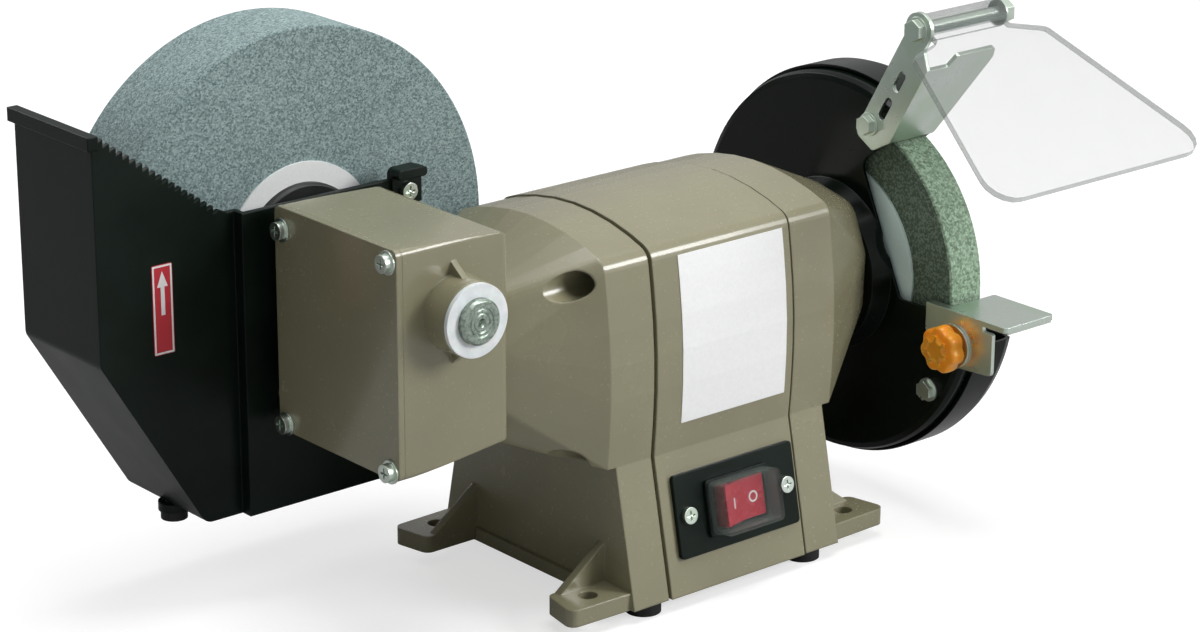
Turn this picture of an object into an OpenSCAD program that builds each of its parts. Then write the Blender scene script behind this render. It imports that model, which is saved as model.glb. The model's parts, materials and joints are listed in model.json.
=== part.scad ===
// Bench grinder: a fast dry wheel on the right of the motor, and a slow wet wheel on the left that
// turns in a water tank behind a worm gearbox.
// X runs along the motor shaft to the right, Y to the back and Z up. Millimetres.
// The origin is midway between the four bench bolts, on the underside of the housing.

/* [Wheels] */
// Diameter of the wet wheel
wet_d = 200; // [180:5:205]
// Width of the wet wheel
wet_w = 40; // [30:1:42]
// Bore of the wet wheel, which is also the axle's diameter
wet_bore = 20; // [18:1:22]
// Front face of the wet wheel, behind the motor shaft's axis
wet_y = 70.3; // [69:0.5:73]
// Diameter of the dry wheel
dry_d = 150; // [125:5:152]
// Width of the dry wheel
dry_w = 20; // [16:1:20]
// Bore of the dry wheel
dry_bore = 12.7; // [12:0.1:14]
// Gap between the right bell's nose and the dry wheel
dry_gap = 13.5; // [13:0.5:15.5]

/* [Motor housing] */
// Height of the motor shaft over the bench face
axis_h = 106.7; // [104:0.5:112]
// Length of the middle shell
shell_l = 80; // [70:1:110]
// Length of each end bell beyond the middle shell
bell_l = 67.5; // [60:1:80]
// Full-section length of each end bell
bell_strip = 26; // [22:1:30]
// Half depth of the housing at its foot
foot_hw = 67.4; // [64:0.5:80]
// Half depth at the waist over the foot
waist_hw = 54.3; // [53:0.5:60]
// Height of the waist
waist_h = 63.5; // [58:0.5:64]
// Half depth at the upper corner
corner_hw = 50.8; // [49:0.5:56]
// Height of the upper corner over the shaft's axis
corner_rise = 50.3; // [48:0.5:56]
// How far the sides bulge between waist and corner
barrel = 3.5; // [0:0.5:6]
// How far the top is crowned
crown = 10; // [4:0.5:14]
// Wall of the castings
wall = 3; // [2.5:0.5:4]
// Width of the groove between two castings
groove = 1.5; // [0.6:0.1:1.6]
// Step of the end bells inside the middle shell's outline
step = 0.6; // [0.3:0.1:1]
// Diameter of the long tie bolts
tie_d = 5; // [4:0.5:6]

/* [Base] */
// Distance between the bench bolts along X
bolt_x = 154; // [150:1:158]
// Distance between the bench bolts along Y
bolt_y = 107; // [104:1:110]
// Bench bolt hole
bolt_d = 8.5; // [6.5:0.5:10]
// Thickness of the bench lugs
lug_t = 8; // [6:0.5:10]
// Height of the gussets on the lugs
gusset_h = 28; // [24:1:44]
// Diameter of the rubber feet
foot_d = 16; // [12:0.5:18]
// Height of the rubber feet
foot_h = 6; // [4:0.5:12]

/* [Motor inside] */
// Outside diameter of the stator
stator_d = 90; // [84:1:92]
// Length of the stator
stator_l = 56; // [40:1:60]
// Diameter of the rotor
rotor_d = 50; // [44:1:52]
// Shaft diameter in the bearings
shaft_d = 15; // [14:0.5:16]
// Outside diameter of the bearings
bearing_d = 35; // [32:1:36]
// Width of the bearings
bearing_w = 11; // [9:1:12]

/* [Gearbox] */
// Length of the gearbox along the motor shaft
gear_l = 59.5; // [59:0.5:66]
// Front face of the gearbox, before the motor shaft
gear_front = 38.3; // [36:0.5:42]
// Back face of the gearbox, behind the motor shaft
gear_back = 47; // [45:0.5:48]
// Teeth of the worm wheel
teeth = 22; // [20:1:22]
// Module of the worm gear
gear_m = 2.1; // [2:0.05:2.1]
// Pitch diameter of the worm
worm_pd = 35.2; // [34:0.2:36]
// Outside diameter of the white axle bush
bush_d = 32; // [30:1:34]
// Length of the front boss
boss_l = 13.6; // [10:0.5:18]

/* [Water tank] */
// Wall of the tank
tank_t = 2.5; // [2:0.25:3]
// Gap between the tank's left wall and the wet wheel
tank_gap_l = 8.5; // [6:0.5:14]
// Gap between the tank's floor and the wet wheel
tank_gap_z = 7.3; // [5:0.5:9]
// Height of the left rim over the wet axle
rim_l_rise = 74; // [60:1:80]
// Height of the front rim over the wet axle
rim_f_rise = 28.6; // [24:0.5:32]
// Teeth in each slanted rim
notches = 19; // [6:1:20]

/* [Wheel guard] */
// Radius of the guard's inner disc
guard_r = 91; // [90:0.5:94]
// Thickness of the guard's sheet steel
sheet = 1.5; // [1:0.25:1.5]
// Gap between the right bell's nose and the guard's inner disc
guard_gap = 8.9; // [8:0.1:9.5]
// Width of the guard over both discs
guard_w = 30.6; // [30:0.1:34]

/* [Spark arrestor and eye shield] */
// Angle of the arrestor's arm from the vertical
arm_tilt = 30.1; // [28:0.5:32]
// Distance between the clamping bolt and the shield's hinge
arm_l = 57.8; // [54:0.5:66]
// Thickness of the zinc-plated plates
plate = 2; // [1.5:0.25:2]
// Thickness of the clear shield
shield_t = 3; // [2:0.5:3]
// Length of the shield from its hinge
shield_l = 106; // [80:1:120]
// Width of the shield at its front edge
shield_w = 140; // [100:1:150]
// Slope of the shield below the horizontal
shield_slope = 29.4; // [24:0.5:32]

/* [Tool rest] */
// Depth of the tool rest's table under the motor shaft's axis
rest_drop = 2.2; // [0.7:0.1:2.2]
// Gap between the table and the dry wheel
rest_gap = 3.5; // [3:0.5:6]
// Depth of the table in front of the wheel
rest_l = 37; // [30:1:44]
// Diameter of the star knob
knob_d = 23; // [20:1:25]

/* [Switch] */
// Width of the switch plate
switch_w = 71; // [64:1:74]
// Height of the switch plate
switch_h = 38; // [34:1:40]
// Height of the middle of the switch plate
switch_z = 34.6; // [33:0.5:36]

/* [Fits] */
// Radial clearance of a running fit
run_fit = 0.05; // [0.02:0.01:0.1]
// Radial clearance of a seat that doesn't turn
seat_fit = 0.03; // [0.01:0.01:0.1]
// Clearance between plates that slide on each other
slide_gap = 0.05; // [0.02:0.01:0.1]

/* [Hidden] */
$fn = 64;
eps = 0.5;

// Places along the motor shaft
seam_x = shell_l / 2;
wall_x = seam_x + bell_strip - 4.5;
strip_x = seam_x + bell_strip;
nose_x = seam_x + bell_l;
dry_x = nose_x + dry_gap;
guard_x = nose_x + guard_gap;
nose_wall = 4;
spigot = 4;
spigot_t = 2.5;
bearing_x = nose_x - nose_wall - bearing_w - 5.5;
corner_z = axis_h + corner_rise;
tie_y = 43;
tie_z = [axis_h + 40.3, axis_h - 38.7];
tie_seat = strip_x - 12;
tie_end = seam_x + 20;
nose_screws = [for (z = [-14, 23], y = [-22, 22]) [y, axis_h + z]];
nose_screw_d = 5;

// Base plate, inside the castings and their spigots
base_z = 1;
base_t = 1.5;
base_hx = wall_x - wall - 1;
base_hy = foot_hw - wall - spigot_t - 1.2;

// Motor: slots of the stator, as radii, and the running gap
slots = 12;
slot_r0 = rotor_d / 2 + 4;
slot_r1 = stator_d / 2 - 6;
air_gap = 0.4;
seat_d = shaft_d + 4;

// Gear train
lead = PI * gear_m;
wheel_pd = teeth * gear_m;
backlash = 0.35;
worm_l = 30;
wet_x = -(nose_x + gear_l / 2);
wet_z = axis_h + (worm_pd + wheel_pd) / 2;
lead_angle = atan(lead / (PI * worm_pd));
gear_face = 12;
worm_bore = 12;
worm_x0 = wet_x - worm_l / 2;
worm_sides = 32;
worm_rings = 40;
end_journal = 10;
end_bush_d = 12;
seal_d = 26;
gear_x = -(nose_x + gear_l);
cover_t = 3;
gear_top = wet_z + 32.1;
gear_floor = axis_h - 28.5;
boss_y = -(gear_front + boss_l);
back_boss_y = gear_back + 5;
bush_lip = 2;
bush_seat = bush_d - 6;
axle_front = boss_y - bush_lip - 3.2;
collar_y = back_boss_y + bush_lip + 0.4;
shaft_left = gear_x + cover_t + 1;
// Rise of the gearbox's floor and fall of its roof towards the motor
gear_draft = [6, 2.7];
cover_screws = [[-gear_front + 5.6, gear_top - 5.9], [-gear_front + 5.6, gear_floor + 3.7],
                [gear_back - 5.6, gear_top - 9.9], [gear_back - 5.6, gear_floor + 3.7]];

// Stack on the wet axle
blotter_t = 1;
flange_t = 6;
wet_flange_d = 62;
wet_back = wet_y + wet_w;
wet_nut_y = wet_back + blotter_t + flange_t - 1;
wet_nut_h = 7;
wet_thread = 16;
wet_blotter_d = 80;

// Stack on the dry side
dry_shoulder = dry_x - blotter_t - flange_t;
dry_out = dry_x + dry_w + blotter_t;
dry_flange_d = 46;
dry_blotter_d = 102;
dry_thread = 12;
dry_nut_x = dry_out + flange_t - 1;
dry_nut_h = 7;
shaft_end = dry_nut_x + dry_nut_h + 2.5;
guard_out = guard_x + guard_w;
// Inside face of the dome over the shaft's end
bulge_x = shaft_end + 2;

// Tank
tank_x0 = wet_x - wet_d / 2 - tank_gap_l - tank_t;
tank_x1 = wet_x + wet_d / 2 + 9;
tank_z0 = wet_z - wet_d / 2 - tank_gap_z - tank_t;
tank_top = wet_z + rim_l_rise;
rim_z = wet_z + rim_f_rise;
rim_r_z = wet_z - 5;
tank_y0 = wet_y - 10.3;
tank_pocket_y = gear_back + 7;
tank_y1 = wet_back + 9.5;
pocket_x0 = gear_x - 12;
pocket_x1 = -(nose_x - 26.5);
ear_x1 = pocket_x1 - 3;
ear_x0 = ear_x1 - 16;
ear_screw = [(ear_x0 + ear_x1) / 2, rim_z - 6];
// Foot of the slanted rim, and the drain
slope_x = tank_x0 + 62;
drain_x = tank_x0 + 53;
drain_d = 8;
spout_d = 14;
plug_d = 12;
tank_screws_at = [for (x = [gear_x + 10, -(nose_x + 7)], z = [gear_floor + 13, gear_top - 12]) [x, z]];

// Guard fixings, as angles around the shaft: one bolt goes through, and the others enter welded posts
guard_bolt_r = 81;
through_bolt_at = [213.5];
post_bolt_at = [320, 40, 92];
post_screw_l = 16;
dish_r = 38;
// Low edges of the window in the inner disc and in the cover
inner_low = axis_h - 6.2;
cover_low = axis_h - 19.7;

// Arrestor, measured along and across its arm from the clamping bolt
clamp_y = -26;
clamp_z = axis_h + 73.3;
arm_front = 14.5;
arm_rear = 5.5;
arm_travel = 4;
hinge_d = 6;
barrel_d = 13;
hinge_y = clamp_y - arm_l * sin(arm_tilt);
hinge_z = clamp_z + arm_l * cos(arm_tilt);
barrel_x0 = guard_x + 0.4;
barrel_x1 = barrel_x0 + 48;
shield_mid = guard_x + 23.6;
arm_x0 = guard_x - plate - slide_gap;
flap_s0 = 1;
flap_s1 = arm_l - 12.5;
tongue_s = arm_l - 6.5;
flap_x1 = dry_x + dry_w + 2;

// Tool rest
stud_d = 6;
stud_y = -83.5;
stud_z = axis_h - 18.7;
rest_y1 = -(dry_d / 2 + rest_gap);
rest_y0 = rest_y1 - rest_l;
rest_x1 = dry_x + dry_w + 5;
rest_x0 = guard_x - plate - slide_gap;
rest_z = axis_h - rest_drop;
rest_t = 2.5;
rest_back = -66;
// How far the rest slides forwards and backwards from where it is set
rest_travel = [-8, 2];
side_front = rest_y0 + 8;
knob_x1 = rest_x0 - 1.6;

// Sloping front of the pedestal, which carries the switch
front_tilt = atan((foot_hw - waist_hw) / waist_h);
switch_y = -(foot_hw - switch_z * tan(front_tilt));
switch_x = 2.3;
switch_screw_x = [-switch_w / 2 + 6.5, switch_w / 2 - 6.5];
// Opening for the rocker, its pivot's depth and the tilt at which it is off
rocker_in = [28.4, 19.4];
rocker_pivot = -2;
rocker_tilt = 9;
rocker_pin = 3;

// Label on the front of the middle shell
label_x = [-25.5, 36];

// Capacitor and cable gland
cap_d = 34;
cap_y = 14;
clip_t = 1.2;
cap_z = base_z + base_t + clip_t + cap_d / 2;
gland_x = 20;
gland_d = 16;

PAINT = "#847B66";
DARK = "#1D1F1E";
ZINC = "#B4BAB7";
STEEL = "#8E9091";

// ---- Outlines ----

function unit(v) = v / norm(v);

// Arc of radius r that rounds the corner p between its neighbours a and b
function rounded(a, p, b, r, n) =
    let (u = unit(a - p), v = unit(b - p), half = acos(u * v) / 2,
         c = p + unit(u + v) * r / sin(half),
         s = p + u * r / tan(half) - c,
         e = p + v * r / tan(half) - c,
         from = atan2(s.y, s.x),
         turn = atan2(e.y, e.x) - from,
         arc = turn > 180 ? turn - 360 : turn < -180 ? turn + 360 : turn)
    [for (i = [0:n]) c + r * [cos(from + arc * i / n), sin(from + arc * i / n)]];

// Outline through points [x, y, corner radius]
function soft(pts, n = 5) =
    [for (i = [0:len(pts) - 1])
        let (k = len(pts), a = pts[(i + k - 1) % k], p = pts[i], b = pts[(i + 1) % k])
        each p[2] > 0 ? rounded([a.x, a.y], [p.x, p.y], [b.x, b.y], p[2], n) : [[p.x, p.y]]];

function box_pts(x0, y0, x1, y1, r) = [[x0, y0, r], [x1, y0, r], [x1, y1, r], [x0, y1, r]];

// Back half of the housing's section over the waist, from the waist up to the crown
function flank(inset) =
    let (w = waist_hw - inset, c = corner_hw - inset, z = corner_z - inset)
    concat([[w, waist_h, 0]],
        [for (t = [1/6:1/6:0.9]) [w + (c - w) * t + barrel * sin(180 * t), waist_h + (z - waist_h) * t, 0]],
        [[c, z, 8 - inset / 2]],
        [for (t = [0.75, 0.5, 0.25, 0]) [c * t, z + crown * (1 - t * t), 0]]);

function ring(half) = concat(half, [for (i = [len(half) - 2:-1:0]) [-half[i].x, half[i].y, half[i][2]]]);

// Whole section down to the bench face, or a little below it for a cut
function section(inset, low = 0) =
    concat([[foot_hw - inset + low * tan(front_tilt), -low, 0]], ring(flank(inset)),
           [[-(foot_hw - inset) - low * tan(front_tilt), -low, 0]]);

// Section of the part that overhangs the pedestal
function dome(inset) =
    concat([[waist_hw - inset - 8, waist_h + inset, 0]], ring(flank(inset)),
           [[-(waist_hw - inset - 8), waist_h + inset, 0]]);

// Section of the end bell at its nose
function nose(inset) =
    let (z = axis_h)
    [[22 - inset, z - 29 + inset, 9], [32 - inset, z - 12, 8], [33 - inset, z + 14, 10],
     [24 - inset, z + 36 - inset, 12], [0, z + 41 - inset, 0], [-24 + inset, z + 36 - inset, 12],
     [-33 + inset, z + 14, 10], [-32 + inset, z - 12, 8], [-22 + inset, z - 29 + inset, 9]];

// ---- Placing ----

module along_x(x0, x1) translate([x0, 0, 0]) rotate([90, 0, 90]) linear_extrude(x1 - x0) children();
module along_y(y0, y1) translate([0, y1, 0]) rotate([90, 0, 0]) linear_extrude(y1 - y0) children();
module rod_x(d, x0, x1) translate([x0, 0, 0]) rotate([0, 90, 0]) cylinder(d = d, h = x1 - x0);
module rod_y(d, y0, y1) translate([0, y0, 0]) rotate([-90, 0, 0]) cylinder(d = d, h = y1 - y0);
module lathe_x(pts) rotate([0, 90, 0]) rotate_extrude(convexity = 6) polygon(pts);
module lathe_y(pts) rotate([-90, 0, 0]) rotate_extrude(convexity = 6) polygon(pts);
module on_axis() translate([0, 0, axis_h]) children();
module on_axle() translate([wet_x, 0, wet_z]) children();
module both_x() { children(); mirror([1, 0, 0]) children(); }
module both_y() { children(); mirror([0, 1, 0]) children(); }

// Local X to the right, Y up the sloping front and Z outwards
module on_front(x = switch_x) translate([x, switch_y, switch_z]) rotate([90 - front_tilt, 0, 0]) children();
module on_rear() mirror([0, 1, 0]) on_front(0) children();

// Local X up the arrestor's arm, Y forwards across it and Z to the right, from the clamping bolt
module on_arm() translate([0, clamp_y, clamp_z]) rotate([arm_tilt + 180, 0, 0]) rotate([0, 90, 0]) children();

// ---- Fasteners ----

// Pan-head screw with a cross recess: head over z = 0, shank below
module pan_screw(d, l, head = 0, tall = 0) {
    head_d = head > 0 ? head : 1.9 * d;
    head_h = tall > 0 ? tall : 0.6 * d;
    difference() {
        union() {
            cylinder(d = head_d, h = head_h);
            translate([0, 0, -l]) cylinder(d = d, h = l + eps);
        }
        translate([-0.3 * head_d, -0.4, head_h / 2]) cube([0.6 * head_d, 0.8, head_h]);
        translate([-0.4, -0.3 * head_d, head_h / 2]) cube([0.8, 0.6 * head_d, head_h]);
    }
}

module washer(d, hole, h) difference() {
    cylinder(d = d, h = h);
    translate([0, 0, -eps]) cylinder(d = hole, h = h + 2 * eps);
}

// Hexagon with the width w over its flats
module hex(w, h) cylinder(d = w / cos(30), h = h, $fn = 6);

module hex_nut(w, hole, h) difference() {
    hex(w, h);
    translate([0, 0, -eps]) cylinder(d = hole, h = h + 2 * eps);
}

// ---- Motor housing ----

module tie_places() for (z = tie_z, y = [-tie_y, tie_y]) translate([0, y, z]) children();

module seat_tube() {
    on_axis() difference() {
        rod_x(stator_d + 6, -stator_l / 2, stator_l / 2);
        rod_x(stator_d + 2 * seat_fit, -stator_l, stator_l);
    }
    // Webs from the seat to the walls
    intersection() {
        along_x(-stator_l / 2, stator_l / 2) polygon(soft(section(wall / 2)));
        on_axis() difference() {
            union() {
                translate([-stator_l / 2, -foot_hw, -2]) cube([stator_l, 2 * foot_hw, 4]);
                translate([-stator_l / 2, -2, 0]) cube([stator_l, 4, corner_rise + 2 * crown]);
            }
            rod_x(stator_d + 3, -stator_l, stator_l);
        }
    }
}

module motor_shell() color(PAINT) difference() {
    union() {
        difference() {
            along_x(-seam_x, seam_x) polygon(soft(section(0)));
            along_x(-shell_l, shell_l) polygon(soft(section(wall, 2)));
        }
        seat_tube();
        // Ring around the rear cable gland
        on_rear() translate([gland_x, 0, -wall - 1]) cylinder(d = gland_d + 8, h = wall);
    }
    // Window behind the switch plate
    on_front() translate([-21, -16, -3 * wall]) cube([42, 32, 6 * wall]);
    for (x = switch_screw_x)
        on_front() translate([x, 0, -3 * wall]) cylinder(d = 3.4, h = 6 * wall);
    on_rear() translate([gland_x, 0, -3 * wall]) cylinder(d = gland_d + 2 * seat_fit, h = 6 * wall);
}

module lug() {
    r = 4;
    w_in = bolt_y / 2 - 11;
    w_out = foot_hw - step - 2.5;
    x1 = bolt_x / 2 + 14;
    difference() {
        union() {
            linear_extrude(lug_t) polygon(soft([[wall_x - 3, w_in, 0],
                [x1, w_in, r], [x1 + 4, w_out - 1, r], [wall_x - 3, w_out, 0]]));
            along_y(w_in, w_in + 4) polygon([[wall_x - 2, lug_t - 1], [x1 - 3, lug_t - 1],
                [wall_x - 2, gusset_h]]);
        }
        translate([bolt_x / 2, bolt_y / 2, -eps]) cylinder(d = bolt_d, h = lug_t + 2 * eps);
    }
}

module bell_outside() {
    along_x(seam_x + groove, wall_x) polygon(soft(section(step)));
    along_x(wall_x - 1, strip_x) polygon(soft(dome(step)));
    hull() {
        along_x(strip_x - eps, strip_x) polygon(soft(dome(step)));
        along_x(nose_x - eps, nose_x) polygon(soft(nose(0)));
    }
    both_y() lug();
    translate([wall_x - 1, 12 - bolt_y / 2, 0]) cube([3.5, bolt_y - 24, 6]);
}

module bell_cavity() {
    along_x(seam_x - eps, wall_x - wall) polygon(soft(section(step + wall, 2)));
    along_x(wall_x - wall - 1, strip_x - 1) polygon(soft(dome(step + wall)));
    hull() {
        along_x(strip_x - 1 - eps, strip_x - 1) polygon(soft(dome(step + wall)));
        along_x(nose_x - nose_wall - eps, nose_x - nose_wall) polygon(soft(nose(wall)));
    }
}

// Bosses that stand in the bell's cavity
module bell_bosses() {
    on_axis() rod_x(bearing_d + 9, bearing_x - 2, nose_x);
    tie_places() rod_x(18, seam_x + 8, nose_x);
    for (p = nose_screws) translate([0, p[0], p[1]]) rod_x(12, nose_x - 14, nose_x);
    both_y() translate([seam_x + 8, foot_hw - 10.4, base_z + base_t]) cylinder(d = 14, h = 28);
    // Webs from the bearing seat to the walls
    translate([bearing_x, -foot_hw, axis_h - 1.5]) cube([bell_l, 2 * foot_hw, 3]);
    translate([bearing_x, -1.5, axis_h - 40]) cube([bell_l, 3, 90]);
}

// The bolts' heads sit in the scoops of one bell, and their threads end in the other
module end_bell(scoops) difference() {
    union() {
        difference() {
            bell_outside();
            difference() {
                bell_cavity();
                bell_bosses();
            }
        }
        // Spigot that enters the middle shell
        difference() {
            along_x(seam_x - spigot, seam_x + groove + 1) polygon(soft(section(wall + seat_fit)));
            along_x(seam_x - 2 * spigot, seam_x + 3 * groove) polygon(soft(section(wall + spigot_t, 2)));
        }
    }
    on_axis() rod_x(bearing_d + 2 * seat_fit, bearing_x - 3, bearing_x + bearing_w);
    on_axis() rod_x(shaft_d + 4, bearing_x, nose_x + 1);
    tie_places() rod_x(tie_d + 0.5, seam_x - spigot, scoops ? nose_x : tie_end + 1);
    if (scoops) tie_places() rod_x(12.5, tie_seat, 2 * nose_x);
    for (p = nose_screws) translate([0, p[0], p[1]]) rod_x(nose_screw_d, nose_x - 12, nose_x + 1);
    both_y() translate([seam_x + 8, foot_hw - 10.4, 0]) cylinder(d = 4, h = 16);
}

module left_end_bell() color(PAINT) mirror([1, 0, 0]) end_bell(true);
module right_end_bell() color(PAINT) end_bell(false);

module foot_places() both_x() both_y() translate([seam_x + 8, foot_hw - 10.4, 0]) children();

module base_plate() color(DARK) difference() {
    translate([0, 0, base_z]) linear_extrude(base_t)
        polygon(soft(box_pts(-base_hx, -base_hy, base_hx, base_hy, 5)));
    foot_places() cylinder(d = 4.5, h = 10, center = true);
    for (x = [-24:12:24], y = [-38, 38])
        translate([x, y, 0]) linear_extrude(10) polygon(soft(box_pts(-2, -10, 2, 10, 1.9)));
    translate([-30, 0, 0]) cylinder(d = 4.2, h = 10);
}

module rubber_feet() color("#141414") foot_places() difference() {
    union() {
        translate([0, 0, -foot_h]) cylinder(d = foot_d, h = foot_h);
        cylinder(d = foot_d - 4, h = base_z);
    }
    translate([0, 0, -foot_h - 1]) cylinder(d = 9, h = foot_h - 1.5);
    translate([0, 0, -foot_h - 1]) cylinder(d = 4.5, h = 3 * foot_h);
}

module foot_screws() color(ZINC) foot_places()
    translate([0, 0, -2.5]) rotate([180, 0, 0]) pan_screw(3.9, 15, 8, 2.2);

module tie_bolts() color(ZINC) tie_places()
    translate([-tie_seat, 0, 0]) rotate([0, -90, 0]) pan_screw(tie_d, tie_seat + tie_end, 9.5, 3.4);

// ---- Labels and switch ----

module skin_patch(x0, x1, z0, z1, lift, t) intersection() {
    difference() {
        along_x(x0, x1) polygon(soft(section(-lift - t)));
        along_x(x0 - 1, x1 + 1) polygon(soft(section(-lift)));
    }
    translate([x0, -2 * foot_hw, z0]) cube([x1 - x0, 2 * foot_hw, z1 - z0]);
}

module front_label() color("#EEF0F0") skin_patch(label_x[0], label_x[1], waist_h + 12.5, corner_z - 4.8, 0.02, 0.3);

module switch_plate() color(DARK) on_front() difference() {
    translate([0, 0, 0.05]) linear_extrude(2) polygon(soft(box_pts(-switch_w / 2, -switch_h / 2,
        switch_w / 2, switch_h / 2, 2)));
    translate([-18, -12.5, -1]) cube([36, 25, 4]);
    for (x = switch_screw_x) translate([x, 0, -1]) cylinder(d = 4.3, h = 4);
}

module switch_screws() color(ZINC) on_front()
    for (x = switch_screw_x) translate([x, 0, 2.1]) pan_screw(3.3, 10, 7.6, 2);

module switch_body() color("#101211") on_front() difference() {
    union() {
        translate([0, 0, 2.1]) linear_extrude(1.6) polygon(soft(box_pts(-18.6, -13.1, 18.6, 13.1, 2)));
        translate([-17.4, -12.2, -20]) cube([34.8, 24.4, 22.5]);
        for (x = [-9, 0, 9]) translate([x - 0.4, -3, -28]) cube([0.8, 6, 9]);
    }
    translate([-rocker_in.x / 2, -rocker_in.y / 2, -10]) cube([rocker_in.x, rocker_in.y, 20]);
    translate([0, 0, rocker_pivot]) rotate([90, 0, 0]) cylinder(d = rocker_pin + 2 * run_fit, h = 23, center = true);
}

module switch_rocker() color("#C4122A") on_front() translate([0, 0, rocker_pivot]) rotate([0, rocker_tilt, 0]) {
    rotate([90, 0, 0]) linear_extrude(rocker_in.y - 0.8, center = true)
        polygon([[-9, -4.5], [9, -4.5], [13, 2], [13, 8.4], [0, 6.4], [-13, 8.4], [-13, 2]]);
    rotate([90, 0, 0]) cylinder(d = rocker_pin, h = 22, center = true);
}

module switch_cover() color([0.9, 0.92, 0.93, 0.35]) on_front() difference() {
    translate([0, 0, 3.75]) linear_extrude(9.6) polygon(soft(box_pts(-17.2, -12, 17.2, 12, 2.5)));
    translate([0, 0, 3]) linear_extrude(9.2) polygon(soft(box_pts(-15.9, -10.8, 15.9, 10.8, 1.5)));
}

// ---- Electrical parts in the pedestal ----

module capacitor() color("#C9CCCB") translate([0, cap_y, cap_z]) {
    rod_x(cap_d, -28, 30);
    rod_x(cap_d - 6, -30, -27);
    for (y = [-7, 7]) translate([-38, y - 3, -0.4]) cube([9, 6, 0.8]);
}

module capacitor_clip() color(ZINC) difference() {
    union() {
        translate([0, cap_y, cap_z]) difference() {
            rod_x(cap_d + 2 * clip_t, -6, 6);
            rod_x(cap_d + 2 * seat_fit, -7, 7);
        }
        translate([-6, -8, base_z + base_t]) cube([12, 12, clip_t]);
    }
    translate([0, -4, 0]) cylinder(d = 4.2, h = 10);
}

module cable_gland() color(DARK) on_rear() difference() {
    union() {
        translate([gland_x, 0, -10]) cylinder(d = gland_d, h = 14);
        translate([gland_x, 0, 0.05]) hex(20, 4);
        translate([gland_x, 0, 4]) cylinder(d1 = 18, d2 = 13, h = 9);
        translate([gland_x, 0, -wall - 1.1 - 4]) hex(20, 4);
    }
    translate([gland_x, 0, -12]) cylinder(d = 8, h = 30);
}

// ---- Motor ----

module slot_places() for (i = [0:slots - 1]) rotate([360 * i / slots, 0, 0]) children();

module stator_core() color(STEEL) on_axis() difference() {
    rod_x(stator_d, -stator_l / 2, stator_l / 2);
    rod_x(rotor_d + 2 * air_gap, -stator_l, stator_l);
    slot_places() translate([-stator_l, -4.5, slot_r0]) cube([2 * stator_l, 9, slot_r1 - slot_r0]);
}

module stator_windings() color("#B5651D") on_axis() {
    both_x() translate([stator_l / 2 + 1, 0, 0]) lathe_x([[slot_r0 + 0.5, 0], [slot_r1 - 0.5, 0],
        [slot_r1 - 1, 8], [slot_r1 - 4, 11], [slot_r0 + 3, 11], [slot_r0 + 0.5, 8]]);
    slot_places() translate([-stator_l / 2 - 2, -4.2, slot_r0 + 0.6])
        cube([stator_l + 4, 8.4, slot_r1 - slot_r0 - 1.2]);
}

module rotor_core() color(STEEL) on_axis() difference() {
    union() {
        rod_x(rotor_d, -stator_l / 2, stator_l / 2);
        both_x() rod_x(rotor_d - 5, stator_l / 2 - 1, stator_l / 2 + 6);
        both_x() for (a = [0:45:315]) rotate([a, 0, 0])
            translate([stator_l / 2 + 5, -1.2, 12]) cube([7, 2.4, 9]);
    }
    rod_x(seat_d + 2 * seat_fit, -stator_l, stator_l);
}

module motor_shaft() color(STEEL) on_axis() difference() {
    union() {
        rod_x(seat_d, -stator_l / 2 - 10, stator_l / 2 + 10);
        rod_x(shaft_d, -(bearing_x + bearing_w + 3), bearing_x + bearing_w + 3);
        rod_x(worm_bore + 1, -nose_x - 3, -bearing_x - bearing_w);
        rod_x(worm_bore, worm_x0 - 1, -nose_x);
        rod_x(end_journal, shaft_left, worm_x0);
        rod_x(shaft_d + 2, bearing_x + bearing_w, dry_shoulder);
        rod_x(dry_bore - 2 * seat_fit, dry_shoulder - 1, dry_out + 4);
        rod_x(dry_thread, dry_out, shaft_end);
    }
    translate([shaft_end, 0, 0]) rotate([0, 90, 0]) cylinder(d1 = 0.1, d2 = 4, h = 2, center = true);
}

module bearing() color("#9DA1A3") on_axis() lathe_x([
    [shaft_d / 2 + run_fit, 0], [shaft_d / 2 + 3, 0], [shaft_d / 2 + 3, 0.6], [bearing_d / 2 - 3, 0.6],
    [bearing_d / 2 - 3, 0], [bearing_d / 2, 0], [bearing_d / 2, bearing_w], [bearing_d / 2 - 3, bearing_w],
    [bearing_d / 2 - 3, bearing_w - 0.6], [shaft_d / 2 + 3, bearing_w - 0.6], [shaft_d / 2 + 3, bearing_w],
    [shaft_d / 2 + run_fit, bearing_w]]);

module right_bearing() translate([bearing_x, 0, 0]) bearing();
module left_bearing() translate([-bearing_x - bearing_w, 0, 0]) bearing();

module shaft_seal() color("#2A1D18") on_axis() translate([-nose_x - wall, 0, 0]) lathe_x([
    [seal_d / 2, 0], [seal_d / 2, wall], [worm_bore / 2 + 2, wall], [worm_bore / 2 + 0.6 + run_fit, wall - 1],
    [worm_bore / 2 + 0.6 + run_fit, 1], [worm_bore / 2 + 2, 0]]);

// ---- Worm gear ----

// Height of the worm's thread at a share of one lead, from a crest
function thread(share) =
    let (d = abs(share - round(share)) * lead, half = (lead / 2 - backlash) / 2,
         up = half - gear_m * tan(20), down = half + 1.25 * gear_m * tan(20))
    worm_pd / 2 + (d < up ? gear_m : d > down ? -1.25 * gear_m
        : gear_m - 2.25 * gear_m * (d - up) / (down - up));

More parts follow.
